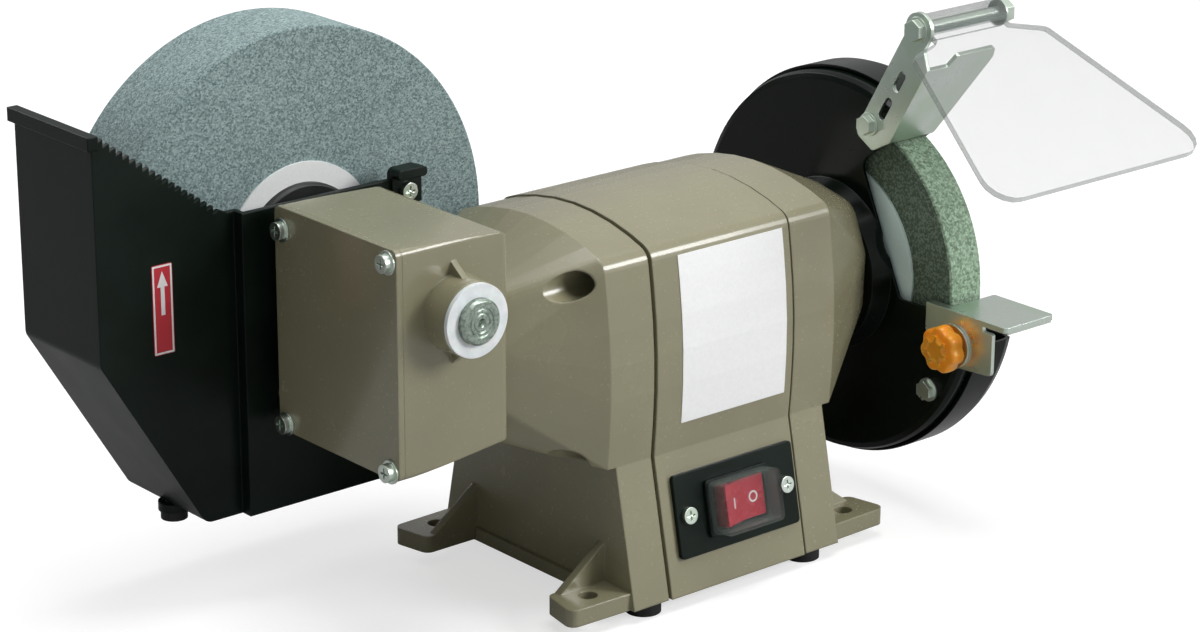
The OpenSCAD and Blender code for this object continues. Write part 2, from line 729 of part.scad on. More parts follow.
module worm_body() {
    pts = [for (i = [0:worm_rings], j = [0:worm_sides - 1])
        let (x = worm_l * (i / worm_rings - 0.5), a = 360 * j / worm_sides,
             r = thread(x / lead - (a - 90) / 360))
        [wet_x + x, r * cos(a), r * sin(a)]];
    sides = [for (i = [0:worm_rings - 1], j = [0:worm_sides - 1])
        let (k = (j + 1) % worm_sides, p = i * worm_sides, q = p + worm_sides)
        each [[p + j, p + k, q + j], [p + k, q + k, q + j]]];
    near = [[for (j = [worm_sides - 1:-1:0]) j]];
    far = [[for (j = [0:worm_sides - 1]) worm_rings * worm_sides + j]];
    polyhedron(pts, concat(sides, near, far), convexity = 10);
}

module worm() color("#A8ABAC") on_axis() difference() {
    worm_body();
    rod_x(worm_bore + 2 * seat_fit, 2 * gear_x, 0);
}

// Half angle of a wheel tooth at radius r, for an involute of 20 degrees
function inv(a) = tan(a) * 180 / PI - a;
function tooth_half(r) =
    let (base = wheel_pd / 2 * cos(20), a = r > base ? acos(base / r) : 0)
    (lead / 2 - backlash) / wheel_pd * 180 / PI + inv(20) - inv(a);

module gear_outline() {
    radii = [for (t = [0:0.25:1]) wheel_pd / 2 + gear_m * (2.25 * t - 1.25)];
    polygon([for (i = [0:teeth - 1]) let (mid = 90 + 360 * (i + 0.5) / teeth)
        each concat([for (r = radii) r * [cos(mid - tooth_half(r)), sin(mid - tooth_half(r))]],
                    [for (k = [4:-1:0]) let (r = radii[k]) r * [cos(mid + tooth_half(r)), sin(mid + tooth_half(r))]])]);
}

module worm_wheel() color("#B08D3C") on_axle() difference() {
    union() {
        twist = gear_face * tan(lead_angle) / (wheel_pd / 2) * 180 / PI;
        rotate([-90, 0, 0]) rotate([0, 0, -twist / 2]) translate([0, 0, -gear_face / 2])
            linear_extrude(gear_face, twist = -twist, slices = 2) gear_outline();
        rod_y(32, -gear_face, gear_face);
    }
    rod_y(wet_bore + 2 * seat_fit, -2 * gear_face, 2 * gear_face);
}

module worm_end_bush() color("#C79A4B") on_axis() difference() {
    rod_x(end_bush_d, gear_x + cover_t + slide_gap, gear_x + cover_t + 6);
    rod_x(end_journal + 2 * run_fit, gear_x, worm_x0);
}

// ---- Gearbox ----

module gear_block(inset) intersection() {
    along_y(-gear_front + inset, gear_back - inset) polygon(soft([
        [gear_x + cover_t - (inset > 0 ? 2 : 0), gear_floor + inset, 0],
        [-nose_x - inset, gear_floor + gear_draft[0] + inset, 3],
        [-nose_x - inset, gear_top - gear_draft[1] - inset, inset > 0 ? 3 : 6],
        [gear_x + cover_t - (inset > 0 ? 2 : 0), gear_top - inset, 0]]));
    linear_extrude(3 * axis_h) polygon(soft([
        [gear_x - 1, -gear_front + inset, 0], [-nose_x - inset, -gear_front + inset, 4],
        [-nose_x - inset, gear_back - inset, 4], [gear_x - 1, gear_back - inset, 0]]));
    // Rounded long edges
    along_x(gear_x - 1, -nose_x) polygon(soft(box_pts(-gear_front + inset, gear_floor + inset,
        gear_back - inset, gear_top - inset, inset > 0 ? 1 : 3)));
}

module gearbox_housing() color(PAINT) difference() {
    union() {
        difference() {
            gear_block(0);
            difference() {
                gear_block(wall);
                for (p = cover_screws) translate([0, p[0], p[1]]) rod_x(10, gear_x, gear_x + 22);
                for (p = nose_screws) translate([0, p[0], p[1]]) rod_x(11, -nose_x - wall - 1, -nose_x);
                on_axle() rod_y(bush_d + 6, gear_back - 14, gear_back);
                on_axle() rod_y(bush_d + 6, -gear_front, -gear_front + 14);
            }
        }
        on_axle() rod_y(bush_d + 1, boss_y, -gear_front + 1);
        on_axle() rod_y(bush_d + 4, gear_back - 1, back_boss_y);
        // Ribs over and under the front boss
        on_axle() for (s = [-1, 1]) mirror([0, 0, s > 0 ? 0 : 1]) rotate([90, 0, 90])
            translate([0, 0, -1.5]) linear_extrude(3)
            polygon([[-gear_front + 1, 10], [boss_y + 4, bush_d / 2 - 1], [-gear_front + 1, bush_d / 2 + 7]]);
        for (p = tank_screws_at) translate([p[0], 0, p[1]]) rod_y(11, gear_back - 4, tank_pocket_y - 0.05);
    }
    on_axle() rod_y(bush_seat, boss_y - 1, back_boss_y + 1);
    on_axis() rod_x(seal_d + 2 * seat_fit, -nose_x - wall - 1, -nose_x + 1);
    for (p = cover_screws) translate([0, p[0], p[1]]) rod_x(4, gear_x, gear_x + 18);
    for (p = nose_screws) translate([0, p[0], p[1]]) rod_x(nose_screw_d + 0.5, -nose_x - 2 * wall, -nose_x + 1);
    for (p = tank_screws_at) translate([p[0], 0, p[1]]) rod_y(4, gear_back - 6, tank_pocket_y + 1);
}

module gearbox_cover() color(PAINT) difference() {
    union() {
        along_x(gear_x, gear_x + cover_t) polygon(soft(box_pts(-gear_front, gear_floor,
            gear_back, gear_top, 3)));
        on_axis() rod_x(end_bush_d + 6, gear_x + 1, gear_x + cover_t + 6);
    }
    on_axis() rod_x(end_bush_d + 2 * seat_fit, gear_x + cover_t, gear_x + 2 * cover_t + 6);
    for (p = cover_screws) translate([0, p[0], p[1]]) rod_x(4.5, gear_x - 1, gear_x + cover_t + 1);
}

module gearbox_cover_screws() color(ZINC) for (p = cover_screws) translate([gear_x, p[0], p[1]]) rotate([0, -90, 0]) {
    washer(10.5, 4.4, 0.9);
    translate([0, 0, 0.9]) pan_screw(3.9, 15, 8, 3);
}

module gearbox_mount_screws() color(ZINC) for (p = nose_screws)
    translate([-nose_x - wall - 1, p[0], p[1]]) rotate([0, -90, 0]) pan_screw(nose_screw_d - 0.2, 15, 8.5, 2.6);

module axle_bush(lip_y, y0, y1) on_axle() difference() {
    union() {
        rod_y(bush_seat - 2 * seat_fit, y0, y1);
        rod_y(bush_d, lip_y, lip_y + bush_lip);
    }
    rod_y(wet_bore + 2 * run_fit, y0 - 5, y1 + 5);
}

module front_axle_bush() color("#F2F2EE") axle_bush(boss_y - bush_lip, boss_y - bush_lip, -gear_face - 0.4);
module rear_axle_bush() color("#F2F2EE") axle_bush(back_boss_y, gear_face + 0.4, back_boss_y + bush_lip);

module wet_axle() color("#A3A7A8") on_axle() difference() {
    union() {
        rod_y(wet_bore, axle_front, wet_nut_y - 4);
        rod_y(wet_bore + 8, collar_y, wet_y - blotter_t - flange_t);
        rod_y(wet_thread, wet_nut_y - 5, wet_nut_y + wet_nut_h + 3);
    }
    // Turned rings and a centre hole in the front end
    translate([0, axle_front - 0.01, 0]) lathe_y([[5.6, 0], [6.4, 0], [6, 0.5]]);
    translate([0, axle_front - 0.01, 0]) lathe_y([[3.6, 0], [4.4, 0], [4, 0.5]]);
    translate([0, axle_front - 0.01, 0]) lathe_y([[0, 0], [1.9, 0], [0, 2.4]]);
    translate([0, axle_front - 0.01, 0]) difference() {
        lathe_y([[wet_bore / 2 - 1, 0], [wet_bore / 2 + 1, 0], [wet_bore / 2 + 1, 1], [wet_bore / 2, 1]]);
        rod_y(1, -2, -1);
    }
}

// ---- Wet wheel ----

module wet_wheel() color("#8795A0") on_axle() lathe_y([
    [wet_bore / 2 + seat_fit, wet_y], [wet_d / 2 - 0.6, wet_y], [wet_d / 2, wet_y + 0.6],
    [wet_d / 2, wet_back - 0.6], [wet_d / 2 - 0.6, wet_back], [wet_bore / 2 + seat_fit, wet_back]]);

module wet_blotters() color("#F0F0EC") on_axle() for (y = [wet_y - blotter_t, wet_back]) difference() {
    rod_y(wet_blotter_d, y, y + blotter_t);
    rod_y(wet_bore + 1, y - 1, y + blotter_t + 1);
}

// Dished flange with its rim on the blotter, from the bore outwards
function flange_pts(d, bore) = [[bore / 2 + seat_fit, 0], [bore / 2 + 8, 0], [bore / 2 + 11, flange_t - 3.5],
    [d / 2 - 1, flange_t - 3.5], [d / 2, flange_t - 2.5], [d / 2, flange_t], [d / 2 - 7, flange_t],
    [d / 2 - 8, flange_t - 0.8], [bore / 2 + seat_fit, flange_t - 0.8]];

module wet_inner_flange() color(DARK) on_axle() translate([0, wet_y - blotter_t - flange_t, 0])
    lathe_y(flange_pts(wet_flange_d, wet_bore));

module wet_outer_flange() color(DARK) on_axle() translate([0, wet_back + blotter_t + flange_t, 0])
    mirror([0, 1, 0]) difference() {
        lathe_y(flange_pts(wet_flange_d, wet_thread));
        rod_y(wet_bore + 2 * seat_fit, 3, 2 * flange_t);
        rod_y(wet_thread + 12, -1, 1);
    }

module wet_nut() color(ZINC) on_axle() translate([0, wet_nut_y, 0]) rotate([-90, 0, 0])
    hex_nut(24, wet_thread + 2 * seat_fit, wet_nut_h);

// ---- Water tank ----

// Side outline of the tank, as points [x, z, corner radius]
function tank_pts(inset, top) = [
    [tank_x0 + inset, top, 0], [tank_x0 + inset, wet_z - 27, 6],
    [tank_x0 + 50 + 0.45 * inset, tank_z0 + inset, 6], [wet_x + 36 - 0.45 * inset, tank_z0 + inset, 6],
    [tank_x1 - inset, wet_z - 44, 6], [tank_x1 - inset, top, 0]];

// Everything over the rims of the front and back walls
function over_rim() = concat(
    [[tank_x0 + tank_t, tank_top]],
    [for (i = [0:notches - 1]) let (dx = (slope_x - tank_x0 - tank_t) / notches, dz = (tank_top - rim_z - 2) / notches,
        x = tank_x0 + tank_t + i * dx, z = tank_top - i * dz) each [[x, z - 1.6 * dz], [x + dx, z - dz]]],
    [[slope_x + 4, rim_z], [ear_x1, rim_z], [ear_x1, rim_z - 16], [ear_x1 + 24, rim_r_z],
     [tank_x1 + 10, rim_r_z], [tank_x1 + 10, tank_top + 10], [tank_x0 + tank_t, tank_top + 10]]);

module pocket_only(inset) intersection() {
    polygon(soft(tank_pts(inset, tank_top + 20)));
    translate([pocket_x0 + inset, tank_z0]) square([pocket_x1 - pocket_x0 - 2 * inset, tank_top]);
}

module tank_shell() difference() {
    union() {
        along_y(tank_y0, tank_y1) polygon(soft(tank_pts(0, tank_top)));
        along_y(tank_pocket_y, tank_y0 + eps) intersection() {
            pocket_only(0);
            translate([-300, 0]) square([400, rim_z]);
        }
    }
    along_y(tank_y0 + tank_t, tank_y1 - tank_t) polygon(soft(tank_pts(tank_t, tank_top + 20)));
    along_y(tank_pocket_y + tank_t, tank_y0 + tank_t + eps) pocket_only(tank_t);
    along_y(tank_pocket_y - 1, tank_y1 + 1) polygon(over_rim());
}

module water_tank() color("#131615") difference() {
    union() {
        tank_shell();
        // Lip round the high left wall
        translate([tank_x0 - 2.5, tank_y0 - 1.5, tank_top - 6]) cube([2.5 + tank_t, tank_y1 - tank_y0 + 3, 6]);
        // Ear over the gearbox's right edge
        along_y(tank_pocket_y - 1.5, tank_pocket_y + tank_t) polygon(soft([[ear_x0, rim_z - 12, 0],
            [ear_x1, rim_z - 12, 0], [ear_x1, rim_z + 5, 3], [ear_x0, rim_z + 5, 3]]));
        along_y(tank_pocket_y - 6, tank_pocket_y) polygon(soft(box_pts(ear_x0, rim_z + 0.5, ear_x1, rim_z + 5, 2)));
        // Drain spout under the floor
        translate([drain_x, (tank_y0 + tank_y1) / 2, tank_z0 - 3]) cylinder(d = spout_d, h = 4);
    }
    on_axle() rod_y(bush_d + 12, tank_pocket_y - 1, tank_pocket_y + 2 * tank_t);
    // Notch for the nut in the back wall
    on_axle() rod_y(wet_flange_d + 6, tank_y1 - 2 * tank_t, tank_y1 + 1);
    on_axle() translate([-wet_flange_d / 2 - 3, tank_y1 - 2 * tank_t, 0]) cube([wet_flange_d + 6, 3 * tank_t, 100]);
    for (p = tank_screws_at) translate([p[0], 0, p[1]]) rod_y(4.5, tank_pocket_y - 1, tank_pocket_y + 2 * tank_t);
    translate([ear_screw.x, 0, ear_screw.y]) rod_y(4.5, tank_pocket_y - 5, tank_pocket_y + 2 * tank_t);
    translate([drain_x, (tank_y0 + tank_y1) / 2, tank_z0 - 4]) cylinder(d = drain_d, h = 12);
}

module drain_plug() color("#0D0D0D") translate([drain_x, (tank_y0 + tank_y1) / 2, tank_z0 - 3.05]) {
    translate([0, 0, -4]) cylinder(d = plug_d, h = 4);
    cylinder(d = drain_d - 2 * seat_fit, h = 8);
}

module tank_screws() color(ZINC) for (p = tank_screws_at) translate([p[0], tank_pocket_y + tank_t, p[1]])
    rotate([-90, 0, 0]) pan_screw(3.9, 10, 8, 2.4);

module tank_ear_screw() color(ZINC) translate([ear_screw.x, 0, ear_screw.y]) {
    translate([0, tank_pocket_y - 1.5, 0]) rotate([90, 0, 0]) pan_screw(4.2, 8, 8, 2.6);
    translate([0, tank_pocket_y + tank_t, 0]) rotate([-90, 0, 0]) hex_nut(7, 4.2 + 2 * seat_fit, 3);
}

module tank_arrow_label() color("#C8202C") {
    translate([0, tank_y0 - 0.35, 0]) along_y(0, 0.3) polygon(soft(box_pts(tank_x0 + 26.6, wet_z - 27.5,
        tank_x0 + 36.9, wet_z + 12.5, 1)));
}

// ---- Wheel guard ----

// Front window of the guard, as points [y, z]; the low edge differs between the two discs
function window_pts(low) = [[-46.5, low, 3], [-19, axis_h + 53, 6], [-33.5, axis_h + 65, 3], [-44, axis_h + 84, 0],
    [-60, axis_h + 110, 0], [-2 * guard_r, axis_h + 110, 0], [-2 * guard_r, low, 0]];

module window_cut(low) along_x(0, 2 * guard_out) polygon(soft(window_pts(low)));

module guard_bolt_places(angles) on_axis() for (a = angles)
    translate([0, guard_bolt_r * cos(a), guard_bolt_r * sin(a)]) children();

module guard_inner() color(DARK) difference() {
    on_axis() lathe_x([[shaft_d / 2 + 3, nose_x], [dish_r, nose_x], [dish_r + 3, guard_x], [guard_r - 3.5, guard_x],
        [guard_r - 1, guard_x + 1], [guard_r, guard_x + 3.5], [guard_r, guard_x + 13],
        [guard_r - sheet, guard_x + 13], [guard_r - sheet, guard_x + 3.9], [guard_r - sheet - 0.7, guard_x + 2.2],
        [guard_r - 3.9, guard_x + sheet], [dish_r + 2, guard_x + sheet], [dish_r - 1, nose_x + sheet],
        [shaft_d / 2 + 3, nose_x + sheet]]);
    window_cut(inner_low);
    guard_bolt_places(through_bolt_at) rod_x(5.4, guard_x - 1, guard_x + 3);
    for (p = nose_screws) translate([0, p[0], p[1]]) rod_x(nose_screw_d + 0.5, nose_x - 1, nose_x + 3);
    translate([0, clamp_y, clamp_z]) rod_x(6.4, guard_x - 1, guard_x + 3);
}

module guard_cover() color(DARK) difference() {
    on_axis() lathe_x([[0, bulge_x + sheet], [dish_r - 3, bulge_x + sheet], [dish_r, bulge_x - 1], [dish_r + 3, guard_out],
        [guard_r - 3, guard_out], [guard_r + 0.8, guard_out - 1.4], [guard_r + 2, guard_out - 5],
        [guard_r + 2, guard_x + 8], [guard_r + 0.5, guard_x + 8], [guard_r + 0.5, guard_out - 5.4],
        [guard_r - 0.6, guard_out - 2.6], [guard_r - 3.5, guard_out - sheet], [dish_r + 2, guard_out - sheet],
        [dish_r - 1, bulge_x - 1], [dish_r - 4, bulge_x], [0, bulge_x]]);
    window_cut(cover_low);
    guard_bolt_places(concat(through_bolt_at, post_bolt_at)) rod_x(5.4, guard_out - 3, guard_out + 1);
}

module guard_spacers() color(ZINC) {
    guard_bolt_places(through_bolt_at) difference() {
        rod_x(9, guard_x + sheet, guard_out - sheet);
        rod_x(5.4, guard_x, guard_out);
    }
    guard_bolt_places(post_bolt_at) difference() {
        rod_x(9, guard_x + sheet, guard_out - sheet);
        rod_x(5.4, guard_out - post_screw_l - 2, guard_out);
    }
}

module guard_bolts() color(ZINC) {
    guard_bolt_places(through_bolt_at) {
        translate([guard_x, 0, 0]) rotate([0, -90, 0]) {
            washer(11, 5.2, 1);
            translate([0, 0, 1]) hex(8, 3);
            translate([0, 0, -guard_w - 5]) cylinder(d = 5, h = guard_w + 7);
        }
        translate([guard_out, 0, 0]) rotate([0, 90, 0]) hex_nut(8, 5 + 2 * seat_fit, 4);
    }
    guard_bolt_places(post_bolt_at) translate([guard_out, 0, 0]) rotate([0, 90, 0]) {
        washer(11, 4.9, 1);
        translate([0, 0, 1]) pan_screw(5, post_screw_l, 9, 3);
    }
}

module guard_mount_screws() color(ZINC) for (p = nose_screws)
    translate([nose_x + sheet, p[0], p[1]]) rotate([0, 90, 0]) pan_screw(nose_screw_d - 0.2, 12, 8.5, 2.4);

// ---- Dry wheel ----

module dry_wheel() color("#6D7570") on_axis() lathe_x([
    [dry_bore / 2 + seat_fit, dry_x], [dry_d / 2 - 0.8, dry_x], [dry_d / 2, dry_x + 0.8],
    [dry_d / 2, dry_x + dry_w - 0.8], [dry_d / 2 - 0.8, dry_x + dry_w], [dry_bore / 2 + seat_fit, dry_x + dry_w]]);

module dry_blotters() color("#93A0AC") on_axis() for (x = [dry_x - blotter_t, dry_x + dry_w]) difference() {
    rod_x(dry_blotter_d, x, x + blotter_t);
    rod_x(dry_bore + 1, x - 1, x + blotter_t + 1);
}

module dry_inner_flange() color(ZINC) on_axis() translate([dry_shoulder, 0, 0])
    lathe_x(flange_pts(dry_flange_d, dry_bore));

module dry_outer_flange() color(ZINC) on_axis() translate([dry_out + flange_t, 0, 0]) mirror([1, 0, 0])
    difference() {
        lathe_x(flange_pts(dry_flange_d, dry_bore));
        rod_x(dry_bore + 12, -1, 1);
    }

module dry_nut() color(ZINC) on_axis() translate([dry_nut_x, 0, 0]) rotate([0, 90, 0])
    hex_nut(19, dry_thread + 2 * seat_fit, dry_nut_h);

// ---- Spark arrestor and eye shield ----

// Straight slot of width w between two places along local X
module straight_slot(s0, s1, p, w) {
    translate([s0, p - w / 2]) square([s1 - s0, w]);
    translate([s0, p]) circle(d = w);
    translate([s1, p]) circle(d = w);
}

module arm_plate() translate([0, 0, arm_x0]) linear_extrude(plate) difference() {
    union() {
        polygon(soft([[-9.5, -arm_rear, 4], [-9.5, 8, 2], [flap_s0, arm_front, 1], [flap_s1, arm_front, 1],
            [arm_l - 6, 7.5, 3], [arm_l, 8, 0], [arm_l, -8, 0], [arm_l - 8, -arm_rear, 0]]));
        translate([arm_l, 0]) circle(d = 16);
    }
    straight_slot(-arm_travel, 0, 0, 5.4);
    straight_slot(9, 17, 3.8, 4.4);
    straight_slot(26, 33, 3.8, 4.4);
    translate([arm_l, 0]) circle(d = hinge_d + 0.2);
}

module spark_arrestor() color(ZINC) on_arm() {
    arm_plate();
    // Deflector bent off the arm's front edge, wider at its top
    translate([0, arm_front, 0]) rotate([90, 0, 0]) linear_extrude(plate)
        polygon(soft([[flap_s0, arm_x0, 0], [flap_s0, flap_x1, 2], [flap_s1, flap_x1 + 14, 3],
            [tongue_s, flap_x1 + 12, 2], [tongue_s, dry_x + 10, 2], [flap_s1, dry_x + 7, 0], [flap_s1, arm_x0, 0]]));
}

module arrestor_bolt() color(ZINC) translate([guard_x, clamp_y, clamp_z]) {
    translate([-plate - 2 * slide_gap, 0, 0]) rotate([0, -90, 0]) {
        washer(11, 5.2, 1);
        translate([0, 0, 1]) hex(8, 3.4);
    }
    translate([-plate - 3, 0, 0]) rotate([0, 90, 0]) cylinder(d = 5, h = plate + sheet + 5.4);
    translate([sheet, 0, 0]) rotate([0, 90, 0]) hex_nut(8, 5 + 2 * seat_fit, 2.4);
}

module hinge_place() translate([0, hinge_y, hinge_z]) children();

// Local X to the right, Y forwards along the shield and Z up from it
module on_shield() hinge_place() rotate([shield_slope, 0, 0]) mirror([0, 1, 0]) children();

module eye_shield() color([0.9, 0.95, 0.95, 0.3]) difference() {
    union() {
        hinge_place() rod_x(barrel_d, barrel_x0, barrel_x1);
        on_shield() translate([0, 0, -shield_t / 2]) linear_extrude(shield_t) polygon(soft([
            [barrel_x0 + eps, 0, 0], [barrel_x1 - eps, 0, 0], [barrel_x1 - eps, 9, 2], [shield_mid + 43, 16, 4],
            [shield_mid + shield_w / 2, shield_l, 12], [shield_mid - shield_w / 2, shield_l, 12],
            [shield_mid - 43, 16, 4], [barrel_x0 + eps, 10.5, 2]]));
    }
    hinge_place() rod_x(hinge_d + 2 * run_fit, barrel_x0 - 1, barrel_x1 + 1);
}

module shield_hinge_bolt() color(ZINC) hinge_place() {
    translate([arm_x0, 0, 0]) rotate([0, -90, 0]) {
        washer(12, hinge_d + 0.2, 1);
        translate([0, 0, 1]) hex(9, 3.4);
    }
    rod_x(hinge_d, arm_x0 - 3, barrel_x1 + 7);
    translate([barrel_x1 + 0.4, 0, 0]) rotate([0, 90, 0]) {
        washer(12, hinge_d + 2 * seat_fit, 1);
        translate([0, 0, 1]) hex_nut(10, hinge_d + 2 * seat_fit, 5);
    }
}

// ---- Tool rest ----

module tool_rest() color(ZINC) {
    difference() {
        along_x(rest_x0, rest_x0 + plate) polygon(soft([[side_front, stud_z - 8.5, 2], [-74, stud_z - 10.5, 3],
            [rest_back, stud_z + 4, 3], [rest_back, rest_z, 0], [side_front + 6, rest_z, 0], [side_front + 6, rest_z - 5, 1],
            [side_front, rest_z - 5, 1]]));
        // Slot for the knob's stud
        translate([0, 0, stud_z]) along_x(rest_x0 - 1, rest_x0 + plate + 1)
            straight_slot(stud_y - rest_travel[1] - 0.3, stud_y - rest_travel[0] + 0.3, 0, stud_d + 0.6);
    }
    // Table, with a tongue that runs back past the wheel's left face
    translate([0, 0, rest_z - rest_t]) linear_extrude(rest_t) polygon(soft([[rest_x0, rest_y0, 2],
        [rest_x1, rest_y0, 2], [rest_x1, rest_y1, 1], [dry_x - 2, rest_y1, 0], [dry_x - 2, rest_back, 1],
        [rest_x0, rest_back, 0]]));
    // Lip under the front edge
    translate([rest_x0 + 2, rest_y0, rest_z - rest_t - 0.8]) cube([rest_x1 - rest_x0 - 4, 2, 2]);
}

module star_knob() color("#F5870F") translate([knob_x1, stud_y, stud_z]) rotate([0, -90, 0]) difference() {
    union() {
        cylinder(d = 13, h = 3);
        translate([0, 0, 2]) linear_extrude(7.5) polygon([for (a = [0:5:355])
            (knob_d / 2 - 1.3 + 1.3 * cos(7 * a)) * [cos(a), sin(a)]]);
        translate([0, 0, 9]) cylinder(d1 = 14, d2 = 10, h = 2);
    }
    translate([0, 0, -1]) cylinder(d = stud_d + 2 * run_fit, h = 9);
}

// The stud is welded to the guard's inner disc
module knob_stud() color(ZINC) translate([guard_x, stud_y, stud_z]) {
    rotate([0, -90, 0]) cylinder(d = stud_d, h = guard_x - knob_x1 + 6);
    // Washer under the knob
    translate([rest_x0 - slide_gap - guard_x, 0, 0]) rotate([0, -90, 0])
        washer(knob_d - 2, stud_d + 2 * seat_fit, 1.2);
}

motor_shell();
left_end_bell();
right_end_bell();
base_plate();
rubber_feet();
foot_screws();
tie_bolts();
front_label();
switch_plate();
switch_screws();
switch_body();
switch_rocker();
switch_cover();
capacitor();
capacitor_clip();
cable_gland();
stator_core();
stator_windings();
rotor_core();
motor_shaft();
left_bearing();
right_bearing();
shaft_seal();
gearbox_housing();
gearbox_cover();
gearbox_cover_screws();
gearbox_mount_screws();
worm();
worm_wheel();
worm_end_bush();
wet_axle();
front_axle_bush();
rear_axle_bush();
wet_wheel();
wet_blotters();
wet_inner_flange();
wet_outer_flange();
wet_nut();
water_tank();
tank_screws();
tank_ear_screw();
drain_plug();
tank_arrow_label();
guard_inner();
guard_cover();
guard_spacers();
guard_bolts();
guard_mount_screws();
dry_wheel();
dry_blotters();
dry_inner_flange();
dry_outer_flange();
dry_nut();
spark_arrestor();
arrestor_bolt();
eye_shield();
shield_hinge_bolt();
tool_rest();
star_knob();
knob_stud();
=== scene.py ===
# %% [markdown]
# # A bench grinder with a dry wheel and a wet wheel
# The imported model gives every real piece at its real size: castings, screws, wheels and gears.
# This lesson leaves those shapes where they are and works on how they look. Each finish is a small
# procedural material in real units, and a few soft or moulded pieces are modelled here, because
# their roundness is what the eye reads first.

# %% Load the frame
import json
import math

import bmesh
import bpy
from mathutils import Matrix, Vector


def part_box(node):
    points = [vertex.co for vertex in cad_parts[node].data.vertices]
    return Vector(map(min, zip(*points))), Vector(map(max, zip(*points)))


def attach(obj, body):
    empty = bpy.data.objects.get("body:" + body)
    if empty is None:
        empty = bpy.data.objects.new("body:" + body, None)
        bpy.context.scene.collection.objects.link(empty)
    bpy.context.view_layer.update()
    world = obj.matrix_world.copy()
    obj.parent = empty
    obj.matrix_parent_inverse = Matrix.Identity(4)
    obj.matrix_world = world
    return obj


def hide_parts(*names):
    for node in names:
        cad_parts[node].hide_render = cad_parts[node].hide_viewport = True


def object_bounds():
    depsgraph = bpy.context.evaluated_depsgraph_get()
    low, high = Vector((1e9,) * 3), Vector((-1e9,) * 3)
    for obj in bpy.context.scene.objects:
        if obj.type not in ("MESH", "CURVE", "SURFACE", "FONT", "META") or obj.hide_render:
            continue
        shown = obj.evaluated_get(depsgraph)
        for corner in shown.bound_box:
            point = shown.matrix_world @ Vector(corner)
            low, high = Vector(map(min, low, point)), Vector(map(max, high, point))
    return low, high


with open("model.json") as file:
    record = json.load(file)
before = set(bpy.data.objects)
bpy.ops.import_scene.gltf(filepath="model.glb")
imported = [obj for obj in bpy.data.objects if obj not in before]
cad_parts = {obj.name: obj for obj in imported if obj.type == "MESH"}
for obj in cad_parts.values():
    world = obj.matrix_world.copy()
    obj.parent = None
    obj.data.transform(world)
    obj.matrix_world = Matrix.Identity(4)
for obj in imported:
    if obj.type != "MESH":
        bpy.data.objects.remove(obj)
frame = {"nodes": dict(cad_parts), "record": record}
nodes = frame["nodes"]
joints = {joint["name"]: joint for joint in frame["record"]["behaviour"]["joints"]}
cad_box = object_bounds()
print("nodes", len(nodes), "box", [list(corner) for corner in cad_box])

# %% [markdown]
# ## Camera
# The grinder is seen from its front left and from a little above, with a long lens, so that its
# parallel edges stay nearly parallel. The camera aims at the middle of the motor's left half, and
# a small shift moves the frame without turning the camera.

# %% Camera
eye = Vector((-0.9767, -1.1159, 0.6142))
target = Vector((-0.0501, 0.0001, 0.1147))
camera_data = bpy.data.cameras.new("camera")
camera_data.sensor_width = 36
camera_data.lens = 104.4
camera_data.shift_x = 0.0361
camera_data.shift_y = 0.0028
camera_data.clip_end = 30
camera = bpy.data.objects.new("camera", camera_data)
camera.location = eye
camera.rotation_euler = (target - eye).to_track_quat("-Z", "Y").to_euler()
bpy.context.scene.collection.objects.link(camera)
bpy.context.scene.camera = camera
bpy.context.scene.view_settings.view_transform = "Standard"
print("camera distance", round((target - eye).length, 3))

# %% [markdown]
# ## Shader maths as sentences
# A material is a graph, and a graph is hard to read as a list of links. A Wire stands for one
# socket, and adding or multiplying two wires adds the Math node that does it.

# %% Wires
class Wire:
    """One output socket; arithmetic on it adds Math nodes."""

    def __init__(self, finish, socket):
        self.finish = finish
        self.socket = socket

    def math(self, operation, *values):
        return self.finish.node("ShaderNodeMath", {"operation": operation}, dict(enumerate(values)))

    def __add__(self, other):
        return self.math("ADD", self, other)

    def __radd__(self, other):
        return self.math("ADD", other, self)

    def __sub__(self, other):
        return self.math("SUBTRACT", self, other)

    def __rsub__(self, other):
        return self.math("SUBTRACT", other, self)

    def __mul__(self, other):
        return self.math("MULTIPLY", self, other)

    def __rmul__(self, other):
        return self.math("MULTIPLY", other, self)

    def ramp(self, low, high):
        """0 below low, 1 above high, and smooth between them."""
        return self.finish.node("ShaderNodeMapRange", {"interpolation_type": "SMOOTHSTEP"},
                                {0: self, 1: low, 2: high})


# %% [markdown]
# ## A finish owns one material
# What is the same all over a surface is stored on the shader's sockets, and what varies over it is
# a wire that is linked to them. The node method is the only place where nodes are made, so every
# setting of every node is read in one way.

